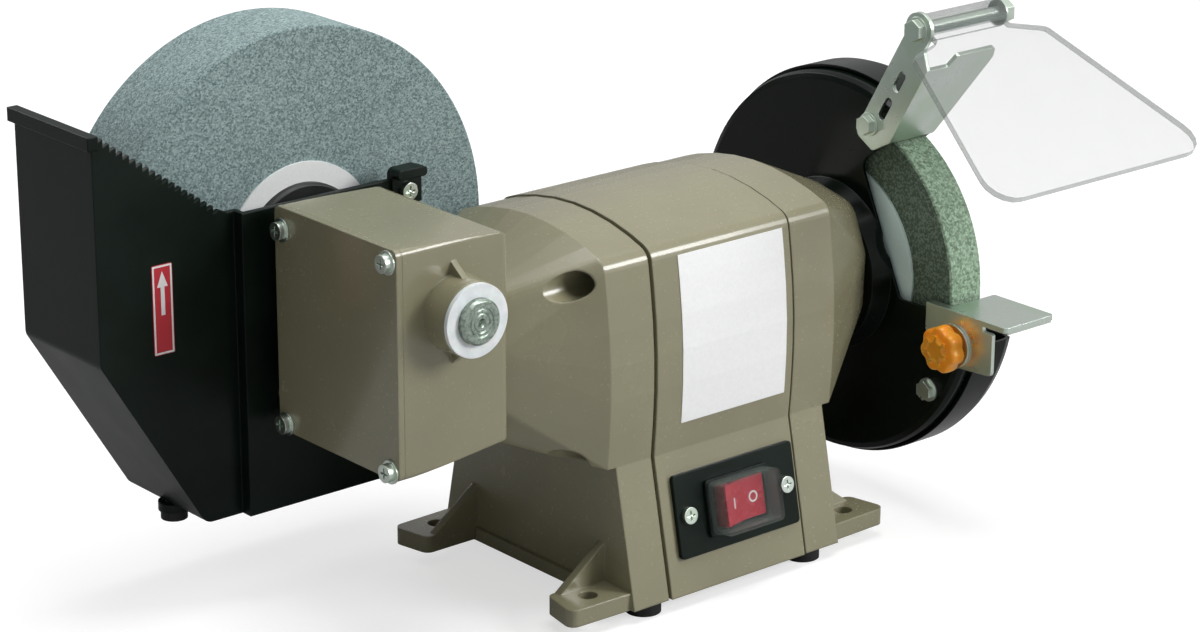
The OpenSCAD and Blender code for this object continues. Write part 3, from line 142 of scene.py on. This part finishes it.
# %% Finishes
class Finish:
    """One material: its constants sit on the shader's sockets, and what varies is fed in."""

    def __init__(self, name, color, roughness, metallic=0.0, **sockets):
        self.material = bpy.data.materials.new(name)
        self.material.use_nodes = True
        self.tree = self.material.node_tree
        self.shader = self.tree.nodes["Principled BSDF"]
        self.set("Base Color", (*color, 1.0))
        self.set("Roughness", roughness)
        self.set("Metallic", metallic)
        for socket, value in sockets.items():
            self.set(socket.replace("_", " "), value)

    def set(self, socket, value):
        """A wire is linked to the shader's socket, and anything else is stored on it."""
        if isinstance(value, Wire):
            self.tree.links.new(value.socket, self.shader.inputs[socket])
        else:
            self.shader.inputs[socket].default_value = value

    def node(self, kind, settings=None, inputs=None, out=0):
        """Any node: its settings first, then the values or links of its sockets."""
        made = self.tree.nodes.new(kind)
        for key, value in (settings or {}).items():
            setattr(made, key, value)
        for key, value in (inputs or {}).items():
            if isinstance(value, Wire):
                self.tree.links.new(value.socket, made.inputs[key])
            else:
                made.inputs[key].default_value = value
        return Wire(self, made.outputs[out])

    def place(self, stretch=(1, 1, 1), shift=(0, 0, 0)):
        """Object coordinates in metres, moved and stretched."""
        where = self.node("ShaderNodeTexCoord", out="Object")
        return self.node("ShaderNodeMapping", {}, {"Vector": where, "Location": shift, "Scale": stretch})

    def noise(self, size, detail=2.0, stretch=(1, 1, 1)):
        """Cloudy noise from 0 to 1 with lumps of about this size in metres."""
        return self.node("ShaderNodeTexNoise", {},
                         {"Vector": self.place(stretch), "Scale": 1 / size, "Detail": detail})

    def grains(self, size, out="Distance"):
        """Cells of about this size in metres."""
        return self.node("ShaderNodeTexVoronoi", {},
                         {"Vector": self.place(), "Scale": 1 / size}, out)

    def mix(self, share, first, second):
        """From the first colour to the second as share goes from 0 to 1."""
        return self.node("ShaderNodeMix", {"data_type": "RGBA"}, {0: share, 6: first, 7: second}, 2)

    def dot(self, first, second):
        """How far two directions agree: 1 along, 0 across and -1 against each other."""
        return self.node("ShaderNodeVectorMath", {"operation": "DOT_PRODUCT"},
                         {0: first, 1: second}, "Value")

    def rounded(self, radius):
        """The surface's normal as if its edges were rounded to this radius."""
        return self.node("ShaderNodeBevel", {"samples": 6}, {"Radius": radius})

    def edges(self, normal, strength):
        """1 along the edges that the rounded normal softens, and 0 on flat ground."""
        flat = self.node("ShaderNodeNewGeometry", out="Normal")
        return ((1 - self.dot(normal, flat)) * strength).ramp(0.05, 0.6)

    def bump(self, height, depth, normal=None):
        """Feeds the normal with a height map whose full swing is this depth in metres."""
        inputs = {"Height": height, "Distance": depth, "Strength": 1.0}
        if normal:
            inputs["Normal"] = normal
        self.set("Normal", self.node("ShaderNodeBump", {}, inputs))


# %% [markdown]
# ## Shades and wearing
# Most finishes vary between a lighter and a darker shade of one colour, which tint gives. A node
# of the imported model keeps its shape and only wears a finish, in its material slot.

# %% Shades and wearing
def tint(color, share):
    """The colour made lighter by a share above 1, or darker by one below 1."""
    return tuple(min(1.0, part * share) for part in color[:3]) + (1.0,)


def wear(finish, *worn_by):
    """Gives these nodes one finish."""
    for node in worn_by:
        mesh = nodes[node].data
        mesh.materials.clear()
        mesh.materials.append(finish.material)
    print(finish.material.name, "on", ", ".join(worn_by))


# %% [markdown]
# ## Housing enamel
# The castings and the gearbox are sprayed with a taupe enamel over a slightly lumpy casting. Up
# close it has a fine orange peel, a slow waviness under it, faint dust, and a painted highlight: its
# colour is painted lighter along the edges. The rounded normal gives each cast edge its soft line of
# light.

# %% Enamel
taupe = (0.238, 0.224, 0.140)
enamel = Finish("taupe_enamel", taupe, 0.32, Coat_Weight=0.4, Coat_Roughness=0.12)
soft_edges = enamel.rounded(0.0012)
edge_highlight_mask = enamel.edges(soft_edges, 2.5)
clouds = enamel.noise(0.03, 3.0)
dust = enamel.noise(0.0016, 2.0).ramp(0.62, 0.8)
film = enamel.mix(clouds.ramp(0.35, 0.7), tint(taupe, 0.97), tint(taupe, 1.03))
# Painted highlight: the enamel's colour is painted lighter along its edges.
film = enamel.mix(edge_highlight_mask * 0.35, film, tint(taupe, 1.45))
enamel.set("Base Color", enamel.mix(dust * 0.02, film, (0.40, 0.38, 0.33, 1.0)))
enamel.set("Roughness", 0.24 + clouds * 0.05 + dust * 0.03)
peel = enamel.noise(0.0011, 1.5) * 0.35 + enamel.noise(0.006, 2.0)
enamel.bump(peel, 0.00006, soft_edges)
wear(enamel, "motor_shell", "left_end_bell", "right_end_bell", "gearbox_housing", "gearbox_cover")

# %% [markdown]
# ## Black enamel
# The wheel guard is pressed sheet under a glossy black enamel. It is nearly black, so its finish
# is told by how sharp or how broken the reflections are: soft patches and fine scuffs vary the
# roughness, and its colour is painted a little paler along the edges, as a painted highlight.

# %% Guard
guard_black = (0.0022, 0.0048, 0.0030)
gloss_black = Finish("black_enamel", guard_black, 0.2, Specular_IOR_Level=0.14)
sheet_edges = gloss_black.rounded(0.0007)
sheet_clouds = gloss_black.noise(0.02, 3.0)
scuffs = gloss_black.noise(0.0012, 3.0, (1, 0.12, 1)).ramp(0.66, 0.78)
# Painted highlight: the black enamel's colour is painted paler along its edges.
gloss_black.set("Base Color", gloss_black.mix(gloss_black.edges(sheet_edges, 2.5) * 0.4,
                                              (*guard_black, 1.0), (0.030, 0.040, 0.034, 1.0)))
gloss_black.set("Roughness", 0.16 + sheet_clouds * 0.12 + scuffs * 0.12)
sheet_peel = gloss_black.noise(0.0015, 1.0) + gloss_black.noise(0.012, 2.0) * 2.0
gloss_black.bump(sheet_peel, 0.00002, sheet_edges)
wear(gloss_black, "guard_inner", "guard_cover", "base_plate")

# %% [markdown]
# ## Black plastic
# The tank is moulded plastic with a fine grain and a faint green cast. The grain is cells of less
# than a millimetre in the bump, and rubbed edges are a little smoother than the flat ground.

# %% Tank
tank_black = (0.0036, 0.0080, 0.0056)
moulded = Finish("moulded_black_plastic", tank_black, 0.34, Specular_IOR_Level=0.14)
moulded_edges = moulded.rounded(0.0009)
moulded_clouds = moulded.noise(0.025, 3.0)
rubbed = moulded.edges(moulded_edges, 2.0)
moulded.set("Base Color", moulded.mix(moulded_clouds.ramp(0.3, 0.75), tint(tank_black, 0.8),
                                      tint(tank_black, 1.3)))
moulded.set("Roughness", 0.28 + moulded_clouds * 0.14 - rubbed * 0.06)
moulded.bump(moulded.grains(0.0007) + moulded.noise(0.01, 2.0) * 0.5, 0.00003, moulded_edges)
wear(moulded, "water_tank", "switch_plate", "switch_body", "cable_gland")

# %% [markdown]
# ## Blackened steel and rubber
# The wet wheel's flanges are oiled, blackened steel, and the feet and the drain plug are soft
# rubber. Rubber hardly shines, and its lighter patches are dust that has settled on it.

# %% Flanges and rubber
washer_black = (0.012, 0.013, 0.013)
dull_black = Finish("blackened_steel", washer_black, 0.42, 0.3)
dull_edges = dull_black.rounded(0.0006)
dull_black.set("Roughness", 0.34 + dull_black.noise(0.004, 3.0) * 0.2)
dull_black.bump(dull_black.noise(0.0008, 2.0), 0.00002, dull_edges)
wear(dull_black, "wet_inner_flange", "wet_outer_flange")

rubber_grey = (0.006, 0.007, 0.006)
rubber = Finish("black_rubber", rubber_grey, 0.62, Specular_IOR_Level=0.3)
rubber_edges = rubber.rounded(0.0008)
rubber.set("Base Color", rubber.mix(rubber.noise(0.006, 3.0).ramp(0.4, 0.8), (*rubber_grey, 1.0),
                                    (0.018, 0.018, 0.017, 1.0)))
rubber.bump(rubber.noise(0.0009, 3.0), 0.00004, rubber_edges)
wear(rubber, "rubber_feet", "drain_plug", "shaft_seal")

# %% [markdown]
# ## Bright zinc
# The plates, screws and nuts are bright zinc: a cool grey metal with a faint green-yellow
# passivation that comes and goes in patches, over a grain that is drawn out along X.

# %% Zinc
def metal(name, color, rough, patch, patch_color, grain=(1, 1, 1), radius=0.0004, depth=0.000003):
    """A bare metal with patches of another tint, a drawn grain and soft edges."""
    finish = Finish(name, color, rough, 1.0)
    normal = finish.rounded(radius)
    patches = finish.noise(patch, 3.0).ramp(0.35, 0.7)
    drawn = finish.noise(0.0006, 2.0, grain)
    finish.set("Base Color", finish.mix(patches * 0.7, (*color, 1.0), (*patch_color, 1.0)))
    finish.set("Roughness", rough + drawn * 0.14 + patches * 0.06)
    finish.bump(drawn, depth, normal)
    return finish


zinc = metal("bright_zinc", (0.60, 0.66, 0.61), 0.22, 0.014, (0.52, 0.62, 0.50), (1, 0.15, 0.15))
wear(zinc, "foot_screws", "tie_bolts", "switch_screws", "capacitor_clip", "gearbox_cover_screws",
     "gearbox_mount_screws", "wet_nut", "tank_screws", "tank_ear_screw", "guard_spacers", "guard_bolts",
     "guard_mount_screws", "dry_inner_flange", "dry_outer_flange", "dry_nut", "spark_arrestor",
     "arrestor_bolt", "shield_hinge_bolt", "tool_rest", "knob_stud")

# %% [markdown]
# ## Turned axle
# The wet wheel's axle is turned steel, so its end shows rings that are cut round the axis. The
# distance from the axis is the length of the place with its Y taken out, and its sine is rings.

# %% Axle
axle_low, axle_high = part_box("wet_axle")
axle_x = (axle_low.x + axle_high.x) / 2
axle_z = (axle_low.z + axle_high.z) / 2
ring_gap = 0.0009
turned = Finish("turned_steel", (0.32, 0.38, 0.33), 0.25, 1.0)
across = turned.place(shift=(-axle_x, 0, -axle_z))
flat_place = turned.node("ShaderNodeVectorMath", {"operation": "MULTIPLY"}, {0: across, 1: (1, 0, 1)})
radius = turned.node("ShaderNodeVectorMath", {"operation": "LENGTH"}, {0: flat_place}, "Value")
turns = radius * (2 * math.pi / ring_gap)
rings = turns.math("SINE", turns)
ring_noise = turned.noise(0.0015, 3.0)
turned.set("Base Color", turned.mix(ring_noise.ramp(0.35, 0.7),
                                    (0.24, 0.30, 0.25, 1.0), (0.40, 0.46, 0.41, 1.0)))
turned.set("Roughness", 0.2 + ring_noise * 0.2)
turned.bump(rings * 0.5 + ring_noise, 0.00004, turned.rounded(0.0005))
wear(turned, "wet_axle")

# %% [markdown]
# ## Metals inside
# The shaft and the bearings are ground steel, the stator and the rotor are stacks of thin sheets,
# and the gear runs in bronze. One recipe serves them all: the grain's stretch makes the sheets'
# edges or the wires' lie, and the patches' second tint is oil, varnish or a cast skin.

# %% Inner metals
steel = metal("ground_steel", (0.50, 0.50, 0.49), 0.28, 0.01, (0.42, 0.43, 0.44), (0.2, 1, 1))
wear(steel, "motor_shaft", "left_bearing", "right_bearing", "worm")
laminated = metal("laminated_steel", (0.26, 0.26, 0.27), 0.4, 0.006, (0.20, 0.19, 0.18), (12, 1, 1))
wear(laminated, "stator_core", "rotor_core")
copper = metal("enamelled_copper", (0.62, 0.27, 0.10), 0.3, 0.004, (0.45, 0.16, 0.06), (1, 4, 4))
wear(copper, "stator_windings")
bronze = metal("cast_bronze", (0.60, 0.44, 0.20), 0.32, 0.006, (0.48, 0.34, 0.15))
wear(bronze, "worm_wheel", "worm_end_bush")
can = metal("drawn_aluminium", (0.66, 0.67, 0.67), 0.3, 0.015, (0.60, 0.61, 0.62), (0.2, 1, 1))
wear(can, "capacitor")

# %% [markdown]
# ## Grinding wheels
# A grinding wheel is grit held in a glassy bond, so it is neither smooth nor evenly coloured.
# Cells of the grit's size give each grain its own shade, a finer noise fills the bond between
# them, and the same cells make the pitted surface. The wet wheel is finer and bluer. The dry wheel
# is coarser and greener, and its flat sides carry painted shade: they are painted much darker than its
# rim.

# %% Stones
def stone(name, dark, light, grit, depth, cloud, side=None):
    """Vitrified grit whose grains are about this size in metres; its flat sides may carry painted shade.
    """
    finish = Finish(name, light, 0.88)
    cells = finish.grains(grit)
    shade = finish.node("ShaderNodeSeparateColor", {}, {0: finish.grains(grit, "Color")})
    fine = finish.noise(grit * 1.4, 4.0)
    clouds = finish.noise(cloud, 3.0)
    share = shade * 0.42 + fine * 0.55 + clouds * 0.12 - 0.08
    color = finish.mix(share.ramp(0.05, 0.95), (*dark, 1.0), (*light, 1.0))
    # Painted shade: faces square to the side direction are painted much darker than the rim.
    if side:
        normal = finish.node("ShaderNodeNewGeometry", out="Normal")
        facing = finish.dot(normal, side)
        pits = shade.ramp(0.35, 0.75) * 0.5 + 0.25
        painted_side_shade = finish.mix(pits, tint(dark, 0.35), tint(light, 0.42))
        color = finish.mix((facing * facing).ramp(0.3, 0.9), color, painted_side_shade)
    finish.set("Base Color", color)
    finish.set("Roughness", 0.78 + fine * 0.2)
    finish.bump(fine - cells * 0.8, depth, finish.rounded(0.0008))
    return finish


wet_stone = stone("fine_blue_grit", (0.060, 0.105, 0.105), (0.400, 0.510, 0.510),
                  grit=0.0007, depth=0.00014, cloud=0.04)
wear(wet_stone, "wet_wheel")
# The dry wheel's flat sides, square to X, get painted shade.
dry_stone = stone("coarse_green_grit", (0.085, 0.140, 0.085), (0.430, 0.580, 0.430),
                  grit=0.0010, depth=0.00020, cloud=0.03, side=(1, 0, 0))
wear(dry_stone, "dry_wheel")

# %% [markdown]
# ## Papers and labels
# Each wheel is clamped between two paper blotters. The label on the motor is a bare satin film:
# its printing is left off. All of them are thin, so fibre and a slight waviness are enough.

# %% Papers
def paper(name, color, rough, fibre, coat=0.0):
    """Paper or film with fibres of about this size."""
    finish = Finish(name, color, rough, Coat_Weight=coat, Coat_Roughness=0.2)
    fibres = finish.noise(fibre, 4.0)
    finish.set("Base Color", finish.mix(fibres.ramp(0.3, 0.75), tint(color, 0.975), tint(color, 1.02)))
    finish.set("Roughness", rough + fibres * 0.1)
    finish.bump(fibres, 0.000004)
    return finish


white_paper = paper("white_blotter_paper", (0.82, 0.84, 0.84), 0.7, 0.0012)
wear(white_paper, "wet_blotters")
blue_paper = paper("blue_blotter_paper", (0.66, 0.82, 0.79), 0.6, 0.0012)
wear(blue_paper, "dry_blotters")
label_film = paper("satin_label_film", (0.86, 0.87, 0.865), 0.42, 0.0015)
wear(label_film, "front_label")
red_film = paper("red_label_film", (0.50, 0.020, 0.035), 0.35, 0.002, 0.3)
wear(red_film, "tank_arrow_label")
white_film = paper("white_label_print", (0.80, 0.78, 0.78), 0.4, 0.002)

# %% [markdown]
# ## Moulded colours
# The axle's bushes are white acetal, the knob is bright orange and the rocker is deep red. Light
# goes a little way into such plastics, so a touch of subsurface keeps them from looking painted.

# %% Plastics
def plastic(name, color, rough, sink=0.0, reach=0.002, **sockets):
    """Moulded plastic: colour that light sinks into, and slight flow marks."""
    finish = Finish(name, color, rough, Subsurface_Weight=sink, Subsurface_Scale=reach, **sockets)
    normal = finish.rounded(0.0005)
    flow = finish.noise(0.005, 3.0)
    finish.set("Base Color", finish.mix(flow.ramp(0.3, 0.75), tint(color, 0.93), tint(color, 1.06)))
    finish.set("Roughness", rough + flow * 0.1)
    finish.bump(flow + finish.noise(0.0008, 1.0) * 0.3, 0.00002, normal)
    return finish


acetal = plastic("white_acetal", (0.80, 0.84, 0.85), 0.32, 0.2)
wear(acetal, "front_axle_bush", "rear_axle_bush")
orange = plastic("orange_plastic", (1.0, 0.36, 0.008), 0.25, 0.6, 0.006)
rocker_red = plastic("red_plastic", (0.42, 0.010, 0.030), 0.22, 0.1)
wear(rocker_red, "switch_rocker")

# %% [markdown]
# ## Clear sheet
# The eye shield and the switch's splash cover are thin and clear. Glass that bends light would be
# slow and dark, so their alpha is low where a face is square to the sheet, and higher on its cut
# edges and its bends, where the real thing gathers light and shows its outline.

# %% Clear plastics
def clear_sheet(name, square_to, film, rim_share):
    """Clear plastic: its faces square to one direction are a thin film, and its edges are denser."""
    finish = Finish(name, (0.25, 0.27, 0.26), 0.06)
    facing = finish.dot(finish.node("ShaderNodeTexCoord", out="Normal"), square_to)
    rim = 1 - (facing * facing).ramp(0.2, 0.95)
    marks = finish.noise(0.012, 2.0)
    finish.set("Base Color", finish.mix(rim, (0.25, 0.27, 0.26, 1.0), (0.24, 0.28, 0.26, 1.0)))
    finish.set("Alpha", film + rim * rim_share + marks * 0.02)
    finish.set("Roughness", 0.04 + marks * 0.05)
    finish.bump(marks, 0.00002)
    return finish


shield_slope = math.radians(29.4)
shield_square_to = (0, -math.sin(shield_slope), math.cos(shield_slope))
shield_film = clear_sheet("clear_shield", shield_square_to, film=0.18, rim_share=0.42)
wear(shield_film, "eye_shield")
press = joints["rocker_press"]
up = Vector(press["axis"])
outward = Vector((1, 0, 0)).cross(up)
cover_film = clear_sheet("clear_cover", tuple(outward), film=0.05, rim_share=0.22)
wear(cover_film, "switch_cover")

# %% [markdown]
# ## Modelling by hand, in code
# Each new piece starts as a primitive and is shaped in edit mode, as with a mouse. Two helpers keep
# the steps short: start adds a primitive with nothing else selected, and pick selects only the
# faces or corners that pass a test, so that the next operator acts on them alone. A third closes
# the piece: it merges doubles, applies the modifiers and ties the piece to its body.

# %% Modelling helpers
def start(name, add, **settings):
    """Adds a primitive, puts its place into its mesh and opens it in edit mode."""
    bpy.ops.object.select_all(action="DESELECT")
    add(**settings)
    piece = bpy.context.object
    piece.name = name
    bpy.ops.object.transform_apply(location=True, rotation=True, scale=True)
    bpy.ops.object.mode_set(mode="EDIT")
    return piece


def pick(test, kind="faces"):
    """Selects only the faces whose middle and normal pass the test, or the verts whose place does."""
    mesh = bpy.context.object.data
    bpy.ops.mesh.select_mode(type={"faces": "FACE", "verts": "VERT"}[kind])
    bpy.ops.mesh.select_all(action="DESELECT")
    shape = bmesh.from_edit_mesh(mesh)
    for part in getattr(shape, kind):
        if kind == "faces":
            chosen = test(part.calc_center_median(), part.normal)
        else:
            chosen = test(part.co)
        part.select_set(bool(chosen))
    shape.select_flush_mode()
    bmesh.update_edit_mesh(mesh)


def finish_piece(piece, finish, body, slot, *replaced):
    """Closes edit mode, gives the piece its finish and ties it to its body; the slot is not used."""
    bpy.ops.mesh.select_all(action="SELECT")
    bpy.ops.mesh.remove_doubles(threshold=0.000001)
    bpy.ops.mesh.normals_make_consistent(inside=False)
    bpy.ops.object.mode_set(mode="OBJECT")
    for modifier in list(piece.modifiers):
        bpy.ops.object.modifier_apply(modifier=modifier.name)
    bpy.ops.object.shade_smooth_by_angle(angle=math.radians(35))
    piece.data.materials.clear()
    piece.data.materials.append(finish.material)
    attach(piece, body)
    if replaced:
        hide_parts(*replaced)
    print(piece.name, "triangles", sum(len(face.vertices) - 2 for face in piece.data.polygons))


# %% [markdown]
# ## Star knob
# The tool rest is held by a moulded knob with seven lobes. Its lobes could be an extruded outline,
# but a moulding has no sharp edge anywhere. So a coarse cylinder has four columns of corners for
# each lobe, the columns in the valleys are pulled in, and a subdivision surface rounds the rest.
# Insets then raise a boss with a dimple on its outer face, and a neck on the face towards the rest.

# %% Knob
knob_low, knob_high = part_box("star_knob")
knob_axis = Vector(joints["knob_turn"]["pos_m"])
knob_r = (knob_high.y - knob_low.y) / 2
head_t = 0.0082
head_low = knob_low.x + 0.002
lobes = 7
knob = start("lobed_knob", bpy.ops.mesh.primitive_cylinder_add, vertices=4 * lobes, radius=knob_r,
             depth=head_t, location=(head_low + head_t / 2, knob_axis.y, knob_axis.z),
             rotation=(0, math.pi / 2, 0))


def lobe_turn(point):
    """How far a point lies from the middle of its lobe, from 0 to 0.5 in the valley."""
    turn = math.atan2(point.y - knob_axis.y, point.z - knob_axis.z) / (2 * math.pi) * lobes
    return abs(turn - round(turn))


def step_in(width, shift=0.0):
    """Insets the picked faces by a width, and moves them along X."""
    bpy.ops.mesh.inset(thickness=width)
    if shift:
        bpy.ops.transform.translate(value=(shift, 0, 0))


valleys = (0.45, 0.55, 0.84)
flanks = (0.2, 0.3, 0.985)
for nearest, furthest, shrink in (valleys, flanks):
    pick(lambda point: nearest < lobe_turn(point) < furthest, "verts")
    bpy.ops.transform.resize(value=(1, shrink, shrink), center_override=knob_axis)
pick(lambda middle, normal: abs(normal.x) > 0.9)
head_round = 0.0011
bpy.ops.mesh.bevel(offset=head_round, segments=1, affect="EDGES")

rim_w = 0.0028
pick(lambda middle, normal: normal.x < -0.99)
step_in(rim_w)
for width, shift in ((0.0008, -0.0014), (0.0012, -0.0002), (0.0005, 0.0007)):  # boss, its top, dimple
    step_in(width, shift)
pick(lambda middle, normal: normal.x > 0.99)
step_in(rim_w)
neck_wall, neck_h = 0.0006, 0.0025
step_in(neck_wall, neck_h)
smooth = knob.modifiers.new("round", "SUBSURF")
smooth.levels = smooth.render_levels = 2
finish_piece(knob, orange, "knob", "orange_plastic", "star_knob")

# %% [markdown]
# ## Marks on the rocker
# The rocker carries a plain bar and a plain ring, for on and off. At rest the switch is off, so the
# ring is on the half that is pressed in, the right one. Each is a thin white print that stands a
# tenth of a millimetre proud of the plastic. A drawn texture would blur, so they are real thin
# pieces: modelled flat at the origin, and then laid on their half of the rocker.

# %% Rocker marks
pivot = Vector(press["pos_m"])
rest_tilt = math.radians(-press["range_deg"][0] / 2)
half_w, half_fall, face_h = 0.013, 0.002, 0.0074
face_tilt = math.atan2(half_fall, half_w)
print_h = 0.00012


def on_rocker(side):
    """Place and turn of the middle of the rocker's left (-1) or right (1) half."""
    slope = Matrix.Rotation(rest_tilt - side * face_tilt, 3, "Y")
    level = Matrix.Rotation(rest_tilt, 3, "Y")
    middle = level @ Vector((side * half_w / 2, 0, face_h))
    local = Matrix((Vector((1, 0, 0)), up, outward)).transposed()
    turned_frame = (local @ slope).to_4x4()
    return Matrix.Translation(pivot + local @ middle) @ turned_frame


def lay(piece, place):
    """Moves a piece that was modelled flat at the origin to its place."""
    bpy.ops.object.mode_set(mode="OBJECT")
    piece.matrix_world = place
    bpy.ops.object.transform_apply(location=True, rotation=True, scale=True)
    bpy.ops.object.mode_set(mode="EDIT")


bar = start("on_mark", bpy.ops.mesh.primitive_cube_add, size=1, scale=(0.0009, 0.0050, 2 * print_h))
bpy.ops.mesh.bevel(offset=0.00005, segments=1, affect="EDGES")
lay(bar, on_rocker(-1))
finish_piece(bar, white_film, "rocker", "white_plastic")

line_w = 0.0008
ring = start("off_mark", bpy.ops.mesh.primitive_cylinder_add, vertices=40, radius=0.0026,
             depth=2 * print_h)
pick(lambda middle, normal: abs(normal.z) > 0.9)
bpy.ops.mesh.inset(thickness=line_w)
bpy.ops.mesh.bridge_edge_loops()
lay(ring, on_rocker(1))
finish_piece(ring, white_film, "rocker", "white_plastic")

# %% [markdown]
# ## Print on the tank's label
# The tank's label is a red film with a white border and a plain white arrow that points up. The
# border is a thin plate whose middle is cut out by an inset and a bridge. The arrow is a triangle,
# and its stem is drawn out of the triangle's base.

# %% Tank label print
label_low, label_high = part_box("tank_arrow_label")
label_mid = (label_low + label_high) / 2
label_w = label_high.x - label_low.x
label_h = label_high.z - label_low.z
print_y = label_low.y
margin = 0.0003
border = start("label_border", bpy.ops.mesh.primitive_cube_add, size=1,
               scale=(label_w - 2 * margin, 2 * print_h, label_h - 2 * margin),
               location=(label_mid.x, print_y, label_mid.z))
pick(lambda middle, normal: abs(normal.y) > 0.9)
bpy.ops.mesh.inset(thickness=line_w)
bpy.ops.mesh.bridge_edge_loops()
finish_piece(border, white_film, "chassis", "label_white")

arrow_r = label_w * 0.30
arrow_gap, head_stretch = 0.0045, 1.5
arrow_z = label_high.z - arrow_gap - arrow_r
arrow = start("label_arrow", bpy.ops.mesh.primitive_cylinder_add, vertices=3, radius=arrow_r,
              depth=2 * print_h, location=(label_mid.x, print_y, arrow_z),
              rotation=(math.pi / 2, 0, 0))
bpy.ops.mesh.select_all(action="SELECT")
bpy.ops.transform.resize(value=(1, 1, head_stretch), center_override=(label_mid.x, print_y, arrow_z))
lowest = min(vertex.co.z for vertex in bmesh.from_edit_mesh(arrow.data).verts)
pick(lambda middle, normal: normal.z < -0.9)
print("arrow base faces", arrow.data.total_face_sel)
shoulder_h, stem_share, stem_l = 0.00001, 0.36, 0.0125
bpy.ops.mesh.extrude_region_move(TRANSFORM_OT_translate={"value": (0, 0, -shoulder_h)})
bpy.ops.transform.resize(value=(stem_share, 1, 1), center_override=(label_mid.x, print_y, lowest))
bpy.ops.mesh.extrude_region_move(TRANSFORM_OT_translate={"value": (0, 0, -stem_l)})
finish_piece(arrow, white_film, "chassis", "label_white")

# %% [markdown]
# ## Lamps
# A soft studio: a wide box overhead, a key from the front right, a soft one from behind, and only
# a trace of fill from the left, so that the tank's side and the castings' left faces stay darker.

# %% Lamps
def lamp(name, place, size, power):
    """A square soft box at this place that faces the grinder."""
    data = bpy.data.lights.new(name, "AREA")
    data.shape = "SQUARE"
    data.size = size
    data.energy = power
    made = bpy.data.objects.new(name, data)
    made.location = place
    made.rotation_euler = (target - Vector(place)).to_track_quat("-Z", "Y").to_euler()
    bpy.context.scene.collection.objects.link(made)
    print("lamp", name, power, "W")


lamp("overhead", (0.15, -0.1, 1.9), size=1.3, power=28)
lamp("key", (1.2, -1.8, 1.1), size=0.9, power=39)
lamp("fill", (-1.9, -0.9, 0.8), size=1.0, power=1)
lamp("back", (-0.5, 1.8, 1.2), size=1.0, power=18)

# %% [markdown]
# ## Surround
# The camera and clear plastic see a plain white surround. Mirrors see one that is bright towards
# the front right and dark towards the back left, as a real room is, so that black enamel and zinc
# show which way they face. What the surround adds to the object as light is much weaker.

# %% Surround
class Surround(Finish):
    """The world's node tree, with the same helpers as a material's."""

    def __init__(self, name):
        self.world = bpy.data.worlds.new(name)
        self.world.use_nodes = True
        self.tree = self.world.node_tree
        self.shader = self.tree.nodes["Background"]


bright_way = (0.55, -0.65, 0.52)
mirror_low, mirror_swing = 0.08, 0.85
ambient = 0.14
surround = Surround("surround")
bpy.context.scene.world = surround.world
heading = surround.node("ShaderNodeTexCoord", out="Generated")
ahead = surround.dot(heading, bright_way)
camera_ray = surround.node("ShaderNodeLightPath", out="Is Camera Ray")
glossy_ray = surround.node("ShaderNodeLightPath", out="Is Glossy Ray")
clear_ray = surround.node("ShaderNodeLightPath", out="Is Transmission Ray")
white_share = camera_ray + clear_ray + glossy_ray * (mirror_low + ahead.ramp(-0.7, 0.9) * mirror_swing)
surround.set("Color", (1, 1, 1, 1))
surround.set("Strength", white_share + (1 - white_share) * ambient)
print("surround nodes", len(surround.tree.nodes))

# %% [markdown]
# ## Floor
# The floor is a plain pale sheet just under the feet. It glows a little for the camera and through
# clear plastic only, so that it runs into the white surround but throws no light on the object,
# and it keeps the object's shadow.

# %% Floor
floor_gap = 0.0002
floor_glow = 0.62
bpy.ops.mesh.primitive_plane_add(size=12, location=(0, 0, cad_box[0][2] - floor_gap))
floor = bpy.context.object
floor.name = "floor"
pale = Finish("pale_floor", (0.46, 0.46, 0.46), 0.9)
direct = pale.node("ShaderNodeLightPath", out="Is Camera Ray")
through = pale.node("ShaderNodeLightPath", out="Is Transmission Ray")
pale.set("Emission Color", (1.0, 1.0, 1.0, 1.0))
pale.set("Emission Strength", (direct + through) * floor_glow)
floor.data.materials.append(pale.material)
print("floor at", round(cad_box[0][2] - floor_gap, 4))
